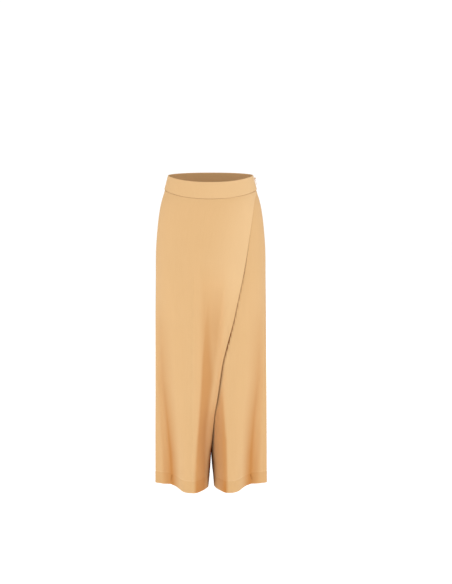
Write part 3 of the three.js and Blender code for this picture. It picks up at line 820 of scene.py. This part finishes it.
# Creases of each sheet: place at the top, place at the bottom, first level, last level, width mm
# and height mm, outwards being positive. A last level past the hem keeps a crease down to it.
FRONT_TROUGH = (
    (2.05, 2.15, 380, 1400, 10, -3.2),
    (1.2, 1.45, 480, 1400, 9, 1.2),
    (2.3, 1.8, 872, 1100, 3.2, -2.4),
)
BACK_TROUGH = ((3.0, 3.0, 330, 1400, 11, -2.6),)
CREASES = {
    "front_left": FRONT_TROUGH + (
        (8.0, 6.1, 330, 1300, 13, 0.9),
        (5.2, 4.6, 380, 1300, 15, -0.9),
        (3.2, 3.0, 300, 1250, 11, 0.6),
        (1.0, 1.3, 210, 900, 9, 0.5),
    ),
    "wrap": FRONT_TROUGH + (
        (6.4, 6.3, 300, 1300, 14, 0.8),
        (5.2, 4.5, 420, 1300, 14, -0.9),
        (3.4, 3.1, 260, 1250, 12, 0.6),
        (1.2, 1.4, 180, 860, 9, 0.5),
    ),
    "back_left": BACK_TROUGH + (
        (2.6, 3.0, 120, 760, 14, 0.9),
        (4.4, 4.9, 300, 1300, 16, 1.0),
        (5.6, 6.2, 340, 1300, 15, -1.0),
        (1.4, 1.6, 190, 900, 9, 0.6),
        (7.4, 7.2, 330, 1300, 12, -0.8),
    ),
    "back_right": BACK_TROUGH + (
        (2.9, 2.7, 150, 700, 13, 0.9),
        (4.8, 4.6, 280, 1300, 15, 1.0),
        (6.0, 5.7, 360, 1300, 16, -1.0),
        (1.6, 1.3, 230, 860, 9, 0.6),
        (7.2, 7.5, 350, 1300, 12, -0.8),
    ),
}
# Creases of the wrap between the right leg's front lobe and its free edge, all outwards.
SPAN_CREASES = (
    (7.55, 7.6, 70, 420, 16, 0.8),
    (7.30, 7.25, 160, 560, 14, 0.6),
    (7.80, 7.85, 110, 520, 12, 0.6),
)
SEAM_GAP = 0.6  # the waistband stops this far above the waist seam's line
BAND_TUCK = 0.6  # how far the panels' faces turn in where they enter the waistband
SEAM_DEPTH = 0.75  # how far the face turns in at a seam
SEAM_SHUT = 0.6  # how far the faces stand out past that where the centre seam curves under
HEM_PROUD = 0.3  # how far the doubled hem stands out
LINE = 0.25  # dimple along the top of the hem
BAND_PROUD = 2.6  # how far the waistband's face stands out from the surface
LAP = 2.6  # how far the wrap's face stands out at its side seam, over the panel under it
FACING = 20.0  # width of the facing along the wrap's free edge
EDGE_PROUD = 0.3  # rise of the wrap along that facing
EDGE_ROLL = 0.5  # how far its free edge turns in


def mirrored(line):
    """The same line on the other leg."""
    return tuple((level, -x, width, strength) for level, x, width, strength in line)


# Lines along which shade is painted into the cloth's colour, in its folds and hollows. Counted away
# from the side seam, the painted shade rises over the first distance in mm up to the line, stays full
# for the line's own width, and fades over the second distance to a share of itself. A line's columns are
# level, x, full width and strength.
INNER_SLOPE = (
    (600, 34, 6, 0), (640, 35, 6, 0.32), (711, 40, 6, 0.52), (760, 44, 6, 0.67), (870, 46, 6, 0.7),
    (895, 46, 6, 0.9), (920, 46, 6, 1),
)
SIDE_WING = ((360, 158, 8, 0), (450, 158, 8, 0.1), (920, 157, 8, 0.12))
FOLD_SHADES = {
    "front_left": (
        (45, 62, 0, ((350, 147, 0, 0), (441, 145, 0, 0.2), (591, 141, 0, 0.5), (711, 128, 0, 0.75),
                     (818, 121, 0, 1), (920, 118.5, 0, 1))),
        (6, 54, 0.15, INNER_SLOPE),
        (45, 40, 0, SIDE_WING),
    ),
    "front_right": ((6, 54, 0.15, mirrored(INNER_SLOPE)),),
    "wrap": (
        (45, 62, 0, ((350, -147, 0, 0), (441, -145, 0, 0.2), (591, -141, 0, 0.5), (711, -128, 0, 0.75),
                     (818, -119, 0, 1), (920, -116, 0, 1))),
        (9, 22, 0.25, ((280, 6, 0, 0), (350, -8, 2, 0.24), (441, -16, 8, 0.49), (520, -22, 18, 0.6),
                       (591, -25, 28, 0.64), (650, -29, 28, 0.64), (711, -34, 26, 0.62),
                       (760, -38, 34, 0.64), (870, -43.5, 40, 0.66), (895, -43.5, 40, 0.8),
                       (920, -43.5, 40, 0.9))),
        (16, 20, 0, ((230, -22, 60, 0), (293, -20, 56, 0.1), (360, -19, 48, 0.22), (441, -19, 40, 0.32),
                     (540, -22, 36, 0.24), (640, -26, 30, 0))),
        (45, 40, 0, mirrored(SIDE_WING)),
    ),
    "back_left": (
        (36, 40, 0, ((300, 134, 0, 0), (455, 131, 0, 0.2), (685, 126, 0, 0.5), (850, 122, 0, 0.75),
                     (920, 122, 0, 0.75))),
        (8, 54, 0.4, ((480, 16, 6, 0), (560, 24, 6, 0.3), (685, 34, 6, 0.55), (800, 41, 6, 0.62),
                      (920, 44, 6, 0.62))),
    ),
    "back_right": (
        (36, 40, 0, ((330, -132, 0, 0), (470, -129, 0, 0.2), (685, -124, 0, 0.5), (850, -121, 0, 0.75),
                     (920, -121, 0, 0.75))),
        (8, 54, 0.4, ((470, -16, 6, 0), (560, -24, 6, 0.3), (685, -34, 6, 0.55), (800, -41, 6, 0.62),
                      (920, -44, 6, 0.62))),
    ),
}
# Short pinches in the hem, as lines that painted shade follows
LEFT_PINCH = ((885, 119, 1, 0), (890, 120, 1, 0.5), (902, 124, 1, 0.4), (911, 127, 1, 0))
RIGHT_PINCH = ((885, -114, 1, 0), (890, -116, 1, 0.5), (902, -119, 1, 0.4), (911, -122, 1, 0))
PINCH_SHADES = {"front_left": ((4, 4, 0, LEFT_PINCH),), "wrap": ((4, 4, 0, RIGHT_PINCH),)}
# Shade on the panel under the wrap's free edge: level and strength. It starts EDGE_SHADE_REACH mm
# out from the edge and deepens inwards, up to EDGE_SHADE_MOST times its strength.
EDGE_SHADE = (
    (45, 0.06), (170, 0.4), (209, 0.8), (245, 1.1), (270, 0.9), (300, 0.6), (390, 0.75), (430, 1),
    (460, 1.35), (485, 1.1), (505, 0.75), (591, 0.15), (711, 0.2), (760, 0.15), (800, 0.3),
)
EDGE_SHADE_REACH = 3.0
EDGE_SHADE_MOST = 6.0
# Shade at the fork of the legs: level, then how far it reaches and how strong it is, in mm from
# the wrap's edge and in folds from the inseam
FORK = (
    (735, 5, 0, 0.25, 0),
    (780, 5, 0.6, 0.25, 0.3),
    (805, 8.5, 1.05, 0.35, 0.7),
    (822, 11, 1.1, 0.6, 1),
    (845, 15, 1.15, 0.95, 1.05),
    (880, 18, 1.25, 1, 0.95),
    (900, 18, 1.2, 1.05, 1),
    (920, 17, 0.9, 1.05, 0.8),
)
INSEAM_HIDES = 0.5  # folds next to the inseam that face the other leg
BACK_FORK = 0.35  # share of the fork's shade that the back panels take
# The strip along the wrap's edge that turns out to the light, where the painted fold shade is lifted:
# level, distance from the edge, width and strength
STRIP = (
    (700, 17, 9, 0.8), (760, 22, 11, 0.7), (800, 26, 12, 0.45), (850, 26, 12, 0.3), (885, 26, 12, 0),
)


def finish_cloth(piece, node, material):
    """Gives a sheet its material, hides the model's part that it replaces, and sets what it moves with."""
    piece.data.materials.append(material)
    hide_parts(node)
    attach(piece, BODY)


def bell(distance, width):
    """1 at no distance, falling away smoothly over a width."""
    return np.exp(-((distance / width) ** 2))


def edge_shade(level, clear):
    """Shade on the panel under the wrap's free edge, clear mm from it."""
    strength = np.interp(level, *zip(*EDGE_SHADE))
    depth = np.clip(1 - clear / EDGE_SHADE_REACH, 0, EDGE_SHADE_MOST)
    return strength * depth * (level > BAND_DEPTH)


def by_level(level, table):
    """Every column of a table that is keyed by level, read at a sheet's levels."""
    at, *columns = zip(*table)
    return [np.interp(level, at, values) for values in columns]


def fork_shade(level, distance, reach, strength):
    """Shade at the fork of the legs, given its column of distances."""
    return strength * bell(distance, reach) * (level > FORK[0][0])


def doubled(level):
    """1 where the hem doubles the cloth and 0 above."""
    return smooth(level, HEM_LEVEL - HEM_FADE, HEM_LEVEL + HEM_FADE)


def tags_of(sheet, fold, gap, facing=0.0):
    """Where the hem doubles the cloth, a painted highlight along its top, and the painted shade of folds
    and gaps.
    """
    level = sheet["level"]
    line = 0.5 * bell(level - HEM_LEVEL + 1.2, 1.5)
    return {"hem": doubled(level), "facing": np.maximum(line, facing), "fold": fold, "gap": gap}


def hem_face(level):
    """How the face steps out over the doubled hem, with the dimple of its stitching."""
    step = HEM_PROUD * smooth(level, HEM_LEVEL - 0.8, HEM_LEVEL + 2)
    return step - LINE * bell(level - HEM_LEVEL, 1.2)


class TROUSERS_OT_waistband(bpy.types.Operator):
    """Make both halves of the shaped waistband"""

    bl_idname = "trousers.waistband"
    bl_label = "Waistband"

    def execute(self, context):
        settings = context.scene.trousers
        thick = settings.sizes.band / MM
        material = shared("honey_crepe", crepe, settings.colours)
        columns = np.array((0, 1.8, 3.2, 5, 8, 12, 16))
        shares = np.array((0, 1.9, 3.4, 6, 10, 15, 20, 25, 30, 35, 39, 41.6, 43.1, 45)) / BAND_DEPTH
        for name, sign in (("front", -1), ("back", 1)):
            sheet = lay_out(band_surface(sign), 0, 180, shares, 4, columns)
            sheet["level"] = sheet["level"] * BAND_DEPTH
            pucker = 0.14 * np.sin(sheet["across"] / 1.9 + sign) * bell(BAND_DEPTH - sheet["level"], 7)
            outer = BAND_PROUD + 0.3 * drift(sheet, 3 + sign) - 0.15 + pucker
            # A painted highlight lies over the band: on the front it grows towards the wearer's left, and
            # on the back it is even.
            pale = np.interp(sheet["point"][..., 0], (-110, 0, 110), (0.2, 0.5, 0.95))
            tags = {"hem": 0.0, "facing": pale if sign < 0 else 0.3, "fold": 0.0, "gap": 0.0}
            piece = shell("cloth_waistband_" + name, sheet, outer, thick, tags, rims=5)
            finish_cloth(piece, "waistband_" + name, material)
        return {"FINISHED"}


def leg_face(name, side, sign, sheet, creasing):
    """How far a leg panel's face stands out from its surface, in mm."""
    level, place = sheet["level"], sheet["place"]
    if name == "front_right":
        # It lies under the wrap, and takes the wrap's creases so that the two never cross.
        face = creasing * creases(sheet, CREASES["wrap"])
        face -= SEAM_TUCK * (1 - smooth(place, 0, 1.5))
        face -= HEM_TUCK * smooth(level, HEM_LEVEL - 90, HEM_LEVEL - 8)
    else:
        face = creasing * creases(sheet, CREASES[name])
        face += drift(sheet, 1.3 * side + sign) * smooth(folds_to_centre(sign) - place, 0.5, 3)
    face += seam_roll(sheet) + hem_face(level)
    # The centre seam is drawn shut where it curves under the body.
    under = smooth(level, BODY_STARTS, CROTCH_CURVE) * (1 - smooth(level, CROTCH, CROTCH + 15))
    face += (SEAM_DEPTH + SEAM_SHUT) * under * bell(sheet["length"] - sheet["across"], ROLL_WIDTH)
    return face - BAND_TUCK * (1 - smooth(level, BAND_DEPTH - 1, BAND_DEPTH + 3))


def leg_shade(name, sign, sheet):
    """Shade on a leg panel: at the fork, and on the left front along the wrap's edge."""
    level = sheet["level"]
    reach, strength = by_level(level, FORK)[2:]
    from_inseam = np.maximum(folds_to_centre(sign) - sheet["place"] - INSEAM_HIDES, 0)
    shade = fork_shade(level, from_inseam, reach, strength)
    if sign > 0:
        shade = shade * BACK_FORK
    if name == "front_left":
        clear = sheet["point"][..., 0] - edge_x(level)
        shade = np.maximum(shade, edge_shade(level, clear))
        shade = np.maximum(shade, painted_fold_shade(sheet, PINCH_SHADES[name]))
    return shade


class TROUSERS_OT_leg_panels(bpy.types.Operator):
    """Make the four leg panels, seamed at the sides, the inside leg and the centre"""

    bl_idname = "trousers.leg_panels"
    bl_label = "Leg panels"

    def execute(self, context):
        settings = context.scene.trousers
        step = settings.sizes.step / MM
        cloth = settings.sizes.cloth / MM
        material = shared("honey_crepe", crepe, settings.colours)
        levels = ticks(BAND_DEPTH - 4, LENGTH, step, (BAND_DEPTH, HEM_LEVEL, LENGTH))
        for name, side, sign in (
            ("front_left", 1, -1),
            ("front_right", -1, -1),
            ("back_left", 1, 1),
            ("back_right", -1, 1),
        ):
            surface = leg_surface(side, sign)
            sheet = lay_out(surface, 0, folds_to_centre(sign), levels, step, ease_at=CROTCH)
            face = leg_face(name, side, sign, sheet, settings.sizes.creasing)
            thick = cloth * (1 + doubled(sheet["level"])) + allowances(sheet)
            tags = tags_of(sheet, painted_fold_shade(sheet, FOLD_SHADES[name]), leg_shade(name, sign, sheet))
            piece = shell("cloth_" + name, sheet, face, thick, tags)
            finish_cloth(piece, name, material)
        return {"FINISHED"}


def wrap_face(sheet, from_edge, creasing):
    """How far the wrap's face stands out from its surface, in mm."""
    level, place = sheet["level"], sheet["place"]
    face = LAP * smooth(place, 0, 1.5) + drift(sheet, 0.4) * smooth(place, 0.3, 2)
    face += creasing * creases(sheet, CREASES["wrap"] + SPAN_CREASES)
    face += seam_roll(sheet, both=False) + hem_face(level)
    face += EDGE_PROUD * bell(from_edge - 9, 7) - EDGE_ROLL * bell(from_edge, 1.6)
    return face - 0.1 * bell(level - BAND_DEPTH, 1.6)


def wrap_tags(sheet, from_edge):
    """The wrap's painted shade in its folds, lifted along the strip its edge turns to the light; painted
    shade along its edge, at the fork and in the hem's pinch; and a painted highlight towards its edge.
    """
    level = sheet["level"]
    centre, width, strength = by_level(level, STRIP)
    tone = painted_fold_shade(sheet, FOLD_SHADES["wrap"]) * (1 - strength * bell(from_edge - centre, width))
    # A thin line of painted shade runs along the wrap's edge.
    rim = 0.3 * smooth(level, 170, 430) * bell(from_edge, 1.2)
    reach, strength = by_level(level, FORK)[:2]
    shade = np.maximum(rim, fork_shade(level, from_edge, reach, strength))
    shade = np.maximum(shade, painted_fold_shade(sheet, PINCH_SHADES["wrap"]))
    # A painted highlight, strongest along the edge and fading over 150 mm and lower down.
    pale = (1 - smooth(from_edge, 4, 150)) ** 1.4 * (1 - 0.5 * smooth(level, 260, 420))
    return tags_of(sheet, tone, shade, pale)


class TROUSERS_OT_wrap_panel(bpy.types.Operator):
    """Make the wrap panel, which hangs over the front to a free, faced edge"""

    bl_idname = "trousers.wrap_panel"
    bl_label = "Wrap panel"

    def execute(self, context):
        settings = context.scene.trousers
        step = settings.sizes.step / MM
        top = BAND_DEPTH - 0.1
        levels = ticks(top, LENGTH, step, (top, HEM_LEVEL, LENGTH))
        sheet = lay_out(wrap_surface, 0, LOBE + 1, levels, step)
        from_edge = sheet["length"] - sheet["across"]
        faced = 0.5 * (1 - smooth(from_edge, FACING, FACING + 1))
        thick = settings.sizes.cloth / MM * (1 + doubled(sheet["level"])) + faced
        face = wrap_face(sheet, from_edge, settings.sizes.creasing)
        piece = shell("cloth_wrap", sheet, face, thick, wrap_tags(sheet, from_edge))
        material = shared("honey_crepe", crepe, settings.colours)
        finish_cloth(piece, "front_overlay", material)
        return {"FINISHED"}

# ---------------------------------------------------------------- side zip and its fitting

ZIP_TOP = -5.0  # depths of the zip's ends
ZIP_BOTTOM = 215.0
TAPE_HALF = 11.0
TAPE_THICK = 0.7
TAPE_IN = 1.9  # how far the tapes lie inside the side seam
COIL_IN = 3.5  # and the coil
COIL_PITCH = 1.5
COIL_HALF = (1.9, 0.75)  # half width and half height of one turn of the coil
COIL_WIRE = 0.34  # radius of its wire
COIL_SLANT = 0.12
SLIDER_DOWN = 2.0
PLATE = (1.1, 6.4, 9.0)  # out, across and up
PLATE_OUT = 0.3
CHEEK = (1.4, 2.8)  # across and up
BAR_OUT = 3.4
BAR_RADIUS = 0.7
PULL_REACH = 19.0  # from the bar to the pull's end
PULL_HALF = 3.6
PULL_WALL = 1.2
TAB_TOP = -1.35  # the pull's flat part ends this far under the bar
TAPER = ((0.3, 0.86), (0.62, 0.66), (0.9, 0.78))  # share of the round end's radius, and narrowing above it
PANEL = (0.75, 0.22)  # margin and depth of the pull's sunk panel
EYE_RING = (1.4, 0.35)  # radius of the eye round the bar, and of its wire
EYE_WIDE = 4.2  # how many times wider than its wire the eye is
SHARP = math.radians(35)  # an edge that turns more than this stays sharp


def fresh_mesh(add, **where):
    """Adds a primitive with nothing else selected, and returns it."""
    bpy.ops.object.select_all(action="DESELECT")
    add(**where)
    return bpy.context.active_object


def select(piece, kind, chosen):
    """In edit mode, leaves only the vertices, edges or faces selected that pass a test."""
    bpy.ops.object.mode_set(mode="EDIT")
    bpy.context.tool_settings.mesh_select_mode = (kind == "vertices", kind == "edges", kind == "polygons")
    bpy.ops.mesh.select_all(action="DESELECT")
    bpy.ops.object.mode_set(mode="OBJECT")
    for part in getattr(piece.data, kind):
        part.select = bool(chosen(part))
    bpy.ops.object.mode_set(mode="EDIT")


def shift(x, y, z):
    """Moves what is selected, by millimetres."""
    bpy.ops.transform.translate(value=(x * MM, y * MM, z * MM))


def bake_place():
    """Puts the selected objects' place, turn and size into their meshes."""
    bpy.ops.object.transform_apply(location=True, rotation=True, scale=True)


def select_only(pieces):
    """Selects these pieces and no others, and makes the first one active."""
    bpy.ops.object.select_all(action="DESELECT")
    for piece in pieces:
        piece.select_set(True)
    bpy.context.view_layer.objects.active = pieces[0]


def join(pieces, name):
    """Makes one piece of several, with its place in its mesh."""
    select_only(pieces)
    if len(pieces) > 1:
        bpy.ops.object.join()
    bake_place()
    piece = bpy.context.active_object
    piece.name = piece.data.name = name
    return piece


def rounded_block(size, centre, corner, edge):
    """Block with its corners rounded seen from outside, and the edges of its two faces softened."""
    block = fresh_mesh(bpy.ops.mesh.primitive_cube_add, size=1, location=(0, 0, 0))
    bpy.ops.transform.resize(value=[s * MM for s in size])
    bake_place()
    half = size[0] * MM / 2

    def ends(line):
        return [block.data.vertices[k].co.x for k in line.vertices]

    def runs_out(line):
        a, b = ends(line)
        return abs(a - b) > half

    def borders_a_face(line):
        a, b = ends(line)
        return abs(a - b) < 1e-7 and abs(abs(a) - half) < 1e-6

    for chosen, radius, segments in ((runs_out, corner, 5), (borders_a_face, edge, 3)):
        select(block, "edges", chosen)
        bpy.ops.mesh.bevel(offset=radius * MM, segments=segments, affect="EDGES")
    bpy.ops.mesh.select_all(action="SELECT")
    shift(*centre)
    bpy.ops.object.mode_set(mode="OBJECT")
    return block


def put_on_band(piece):
    """Moves a piece of the fitting from its own axes to the left side seam, in its mesh."""
    rise = float(hip["half"](SLIDER_DOWN + 10) - hip["half"](SLIDER_DOWN - 10))
    lean = math.atan2(rise, 20)
    out = float(hip["half"](SLIDER_DOWN)) + BAND_PROUD * math.cos(lean)
    up = TOP - SLIDER_DOWN + BAND_PROUD * math.sin(lean)
    place = Matrix.Translation((out * MM, 0, up * MM))
    piece.data.transform(place @ Matrix.Rotation(-lean, 4, "Y"))
    smooth_faces(piece.data)
    select_only([piece])
    bpy.ops.object.shade_smooth_by_angle(angle=SHARP)


def zip_coil():
    """The zip's coil: one turn, copied down the inside of the side seam."""
    first = fresh_mesh(
        bpy.ops.mesh.primitive_torus_add, major_segments=12, minor_segments=6,
        major_radius=1 * MM, minor_radius=COIL_WIRE * MM, location=(0, 0, 0), rotation=(0, COIL_SLANT, 0),
    )
    bpy.ops.transform.resize(value=(COIL_HALF[1], COIL_HALF[0], 1))
    bake_place()
    turns = [first]
    downs = np.arange(ZIP_TOP + 4, ZIP_BOTTOM - 6, COIL_PITCH)
    for _ in downs[1:]:
        turn = bpy.data.objects.new("coil", first.data.copy())
        bpy.context.scene.collection.objects.link(turn)
        turns.append(turn)
    for turn, down in zip(turns, downs):
        turn.location = ((float(hip["half"](down)) - COIL_IN) * MM, 0, (TOP - down) * MM)
        slope = float(hip["half"](down + 1) - hip["half"](down - 1)) / 2
        turn.rotation_euler = (0, -math.atan(slope), 0)
    return join(turns, "zip_coil")


class TROUSERS_OT_zip_tape(bpy.types.Operator):
    """Make the zip's two tapes and its coil, inside the left side seam"""

    bl_idname = "trousers.zip_tape"
    bl_label = "Zip tape and coil"

    def execute(self, context):
        colours = context.scene.trousers.colours
        levels = ticks(ZIP_TOP, ZIP_BOTTOM, 4, (ZIP_TOP, ZIP_BOTTOM))
        sheet = lay_out(tape_surface, -TAPE_HALF, TAPE_HALF, levels, 2, np.array((0, 0.7, 1.6, 3)))
        # A slight hollow down the middle shows where the two tapes meet.
        hollow = 0.25 * bell(sheet["across"] - sheet["length"] / 2, 1.2)
        tape = shell("zip_tapes", sheet, -TAPE_IN - hollow, TAPE_THICK)
        material = shared("woven_polyester_tape", polyester_tape, colours)
        finish_cloth(tape, "zip_tape", material)

        coil = zip_coil()
        coil.data.materials.clear()
        coil.data.materials.append(shared("extruded_nylon", nylon, colours))
        smooth_faces(coil.data)
        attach(coil, BODY)
        return {"FINISHED"}


def slider_body():
    """The slider: a rounded plate, and two cheeks that hold a bar."""
    out, across = PLATE[:2]
    wide, high = CHEEK
    foot = PLATE_OUT + out - 0.3
    tip = BAR_OUT + BAR_RADIUS + 0.3
    parts = [rounded_block(PLATE, (PLATE_OUT + out / 2, 0, 0), 2.1, 0.3)]
    for side in (-1, 1):
        centre = ((tip + foot) / 2, side * (across - wide) / 2, 0)
        parts.append(rounded_block((tip - foot, wide, high), centre, 0.4, 0.4))
    bar = fresh_mesh(
        bpy.ops.mesh.primitive_cylinder_add, vertices=20, radius=BAR_RADIUS * MM,
        depth=(across - wide) * MM, location=(BAR_OUT * MM, 0, 0), rotation=(math.pi / 2, 0, 0),
    )
    return join([*parts, bar], "zip_slider_body")


def pull_tab():
    """The pull: a tapered tab with a round end and a sunk panel, hung from a wide eye."""
    low = PULL_HALF - PULL_REACH
    stretch = (TAB_TOP - PULL_HALF - low) / len(TAPER)
    tab = fresh_mesh(
        bpy.ops.mesh.primitive_circle_add, vertices=32, radius=PULL_HALF * MM, fill_type="NGON",
        location=(0, 0, 0), rotation=(0, math.pi / 2, 0),
    )
    bake_place()
    for share, narrow in TAPER:
        height = share * PULL_HALF * MM
        select(tab, "vertices", lambda v: v.co.z > height)
        bpy.ops.transform.resize(value=(1, narrow, 1))
        shift(0, 0, stretch)
    select(tab, "polygons", lambda f: True)
    bpy.ops.mesh.extrude_region_move(TRANSFORM_OT_translate={"value": (PULL_WALL * MM, 0, 0)})
    bpy.ops.mesh.select_all(action="SELECT")
    bpy.ops.mesh.normals_make_consistent(inside=False)
    select(tab, "polygons", lambda f: f.normal.x > 0.9)
    margin, depth = PANEL
    bpy.ops.mesh.inset(thickness=margin * MM)
    shift(-depth, 0, 0)
    bpy.ops.mesh.select_all(action="SELECT")
    shift(BAR_OUT - sum(EYE_RING), 0, low)
    bpy.ops.object.mode_set(mode="OBJECT")
    soften = tab.modifiers.new("edges", "BEVEL")
    soften.width = 0.2 * MM
    soften.segments = 3
    soften.angle_limit = math.radians(40)
    bpy.context.view_layer.objects.active = tab
    bpy.ops.object.modifier_apply(modifier=soften.name)
    radius, wire = EYE_RING
    eye = fresh_mesh(
        bpy.ops.mesh.primitive_torus_add, major_segments=28, minor_segments=12,
        major_radius=radius * MM, minor_radius=wire * MM, location=(0, 0, 0), rotation=(math.pi / 2, 0, 0),
    )
    bake_place()
    bpy.ops.transform.resize(value=(1, EYE_WIDE, 1))
    shift(BAR_OUT, 0, 0)
    return join([tab, eye], "zip_pull_tab")


class TROUSERS_OT_zip_fitting(bpy.types.Operator):
    """Make the slider and the pull that hangs from its bar"""

    bl_idname = "trousers.zip_fitting"
    bl_label = "Slider and pull"

    def execute(self, context):
        material = shared("baked_enamel", enamel, context.scene.trousers.colours)
        for make, node, body in (
            (slider_body, "zip_slider", BODY),
            (pull_tab, "zip_pull", "zip_pull"),
        ):
            piece = make()
            put_on_band(piece)
            piece.data.materials.append(material)
            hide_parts(node)
            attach(piece, body)
        return {"FINISHED"}


# ---------------------------------------------------------------- studio

# The studio is in metres.
FLOOR_DOWN = 0.18  # the floor lies this far below the hem
CAMERA_AT = (0.045, -4.1, 0.315)
CAMERA_TILT = 8.7014  # degrees below the horizon
CAMERA_LENS = 86.3
# Soft boxes: name, place, point aimed at, width, height, power
SOFT_BOXES = (
    ("key", (0.0, -3.4, 1.3), (0, 0, -0.2), 1.4, 2.2, 24.1),
    ("left", (3.0, -0.9, 1.0), (0, 0, -0.3), 1.4, 2.4, 19.6),
    ("right", (-3.0, -0.9, 1.0), (0, 0, -0.3), 1.4, 2.4, 19.6),
    ("rear", (0.0, 3.4, 1.2), (0, 0, -0.35), 2.4, 2.2, 27),
)
AMBIENT = 0.52  # strength of the surround as a light
BACKDROP = 1.05  # and as the camera sees it


def studio_floor(colours):
    """Wide matt floor, a little below the hem."""
    floor = fresh_mesh(bpy.ops.mesh.primitive_plane_add, size=16, location=(0, 0, 0))
    bpy.ops.transform.translate(value=(0, 0, CAD_BOX[0].z - FLOOR_DOWN))
    floor = join([floor], "studio_floor")
    paint, tree, shader = new_material("matt_studio_paint")
    place = add_node(tree, "ShaderNodeTexCoord").outputs["Object"]
    mottle = add_node(tree, "ShaderNodeTexNoise", {"Vector": place, "Scale": 2.0}).outputs[0]
    colour = add_node(
        tree, "ShaderNodeMix", {0: mottle, 6: colours.floor, 7: colours.backdrop}, **COLOUR_MIX
    )
    # The soft boxes stand near the middle, so the floor's own glow grows away from it.
    away = add_node(tree, "ShaderNodeVectorMath", {0: place}, operation="LENGTH").outputs["Value"]
    glow = add_node(
        tree, "ShaderNodeMapRange",
        {"Value": away, "From Min": 1.8, "From Max": 4.5, "To Min": 0.42, "To Max": 0.53},
    )
    set_inputs(tree, shader, {
        "Base Color": colour.outputs[2], "Roughness": 0.9, "Emission Strength": glow.outputs[0],
        "Emission Color": (1.0, 1.0, 1.0, 1.0),
    })
    floor.data.materials.append(paint)


def soft_box(scene, name, at, aim, width, height, power):
    """Rectangular soft light that the camera doesn't see."""
    lamp = bpy.data.lights.new(name, "AREA")
    lamp.shape = "RECTANGLE"
    lamp.size = width
    lamp.size_y = height
    lamp.energy = power
    box = bpy.data.objects.new(name, lamp)
    box.location = at
    box.rotation_euler = (Vector(aim) - Vector(at)).to_track_quat("-Z", "Y").to_euler()
    box.visible_camera = False
    scene.collection.objects.link(box)


def surround(scene, colours):
    """White studio surround, which lights the cloth less than it shows behind it."""
    world = bpy.data.worlds.new("studio")
    world.use_nodes = True
    tree = world.node_tree
    tree.nodes.clear()
    seen = add_node(tree, "ShaderNodeLightPath").outputs["Is Camera Ray"]
    light, backdrop = (
        add_node(tree, "ShaderNodeBackground", {"Color": colours.backdrop, "Strength": strength})
        for strength in (AMBIENT, BACKDROP)
    )
    both = add_node(
        tree, "ShaderNodeMixShader", {0: seen, 1: light.outputs[0], 2: backdrop.outputs[0]}
    )
    add_node(tree, "ShaderNodeOutputWorld", {"Surface": both.outputs[0]})
    scene.world = world


class TROUSERS_OT_stage(bpy.types.Operator):
    """Make the plain floor, the soft lights and the camera"""

    bl_idname = "trousers.stage"
    bl_label = "Studio"

    def execute(self, context):
        scene = context.scene
        colours = scene.trousers.colours
        studio_floor(colours)
        for box in SOFT_BOXES:
            soft_box(scene, *box)
        surround(scene, colours)
        lens = bpy.data.cameras.new("camera")
        lens.lens = CAMERA_LENS
        camera = bpy.data.objects.new("camera", lens)
        camera.location = CAMERA_AT
        camera.rotation_euler = (math.radians(90 - CAMERA_TILT), 0, 0)
        scene.collection.objects.link(camera)
        scene.camera = camera
        scene.view_settings.view_transform = "Standard"
        return {"FINISHED"}


class TROUSERS_PT_pieces(bpy.types.Panel):
    """Lists the pieces, with the sizes and colours they are made from"""

    bl_idname = "TROUSERS_PT_pieces"
    bl_label = "Wrap-front trousers"
    bl_space_type = "VIEW_3D"
    bl_region_type = "UI"
    bl_category = "Trousers"

    def draw(self, context):
        settings = context.scene.trousers
        for group in (settings.sizes, settings.colours):
            box = self.layout.box()
            for name in group.bl_rna.properties.keys():
                if name not in ("rna_type", "name"):
                    box.prop(group, name)
        for maker in MAKERS:
            self.layout.operator(maker.bl_idname)


MAKERS = (
    TROUSERS_OT_waistband,
    TROUSERS_OT_leg_panels,
    TROUSERS_OT_wrap_panel,
    TROUSERS_OT_zip_tape,
    TROUSERS_OT_zip_fitting,
    TROUSERS_OT_stage,
)
CLASSES = (TrouserSizes, TrouserColours, TrouserSettings, *MAKERS, TROUSERS_PT_pieces)


def register():
    """Adds the settings, the operators and the panel."""
    for kind in CLASSES:
        bpy.utils.register_class(kind)
    bpy.types.Scene.trousers = bpy.props.PointerProperty(
        type=TrouserSettings, name="Trousers", description="Settings of the wrap-front trousers"
    )


def unregister():
    """Takes them away again."""
    del bpy.types.Scene.trousers
    for kind in reversed(CLASSES):
        bpy.utils.unregister_class(kind)


def main():
    """Builds every piece and the studio."""
    register()
    bpy.ops.trousers.waistband()
    bpy.ops.trousers.leg_panels()
    bpy.ops.trousers.wrap_panel()
    bpy.ops.trousers.zip_tape()
    bpy.ops.trousers.zip_fitting()
    bpy.ops.trousers.stage()
    bpy.context.view_layer.update()


if __name__ == "__main__":
    main()
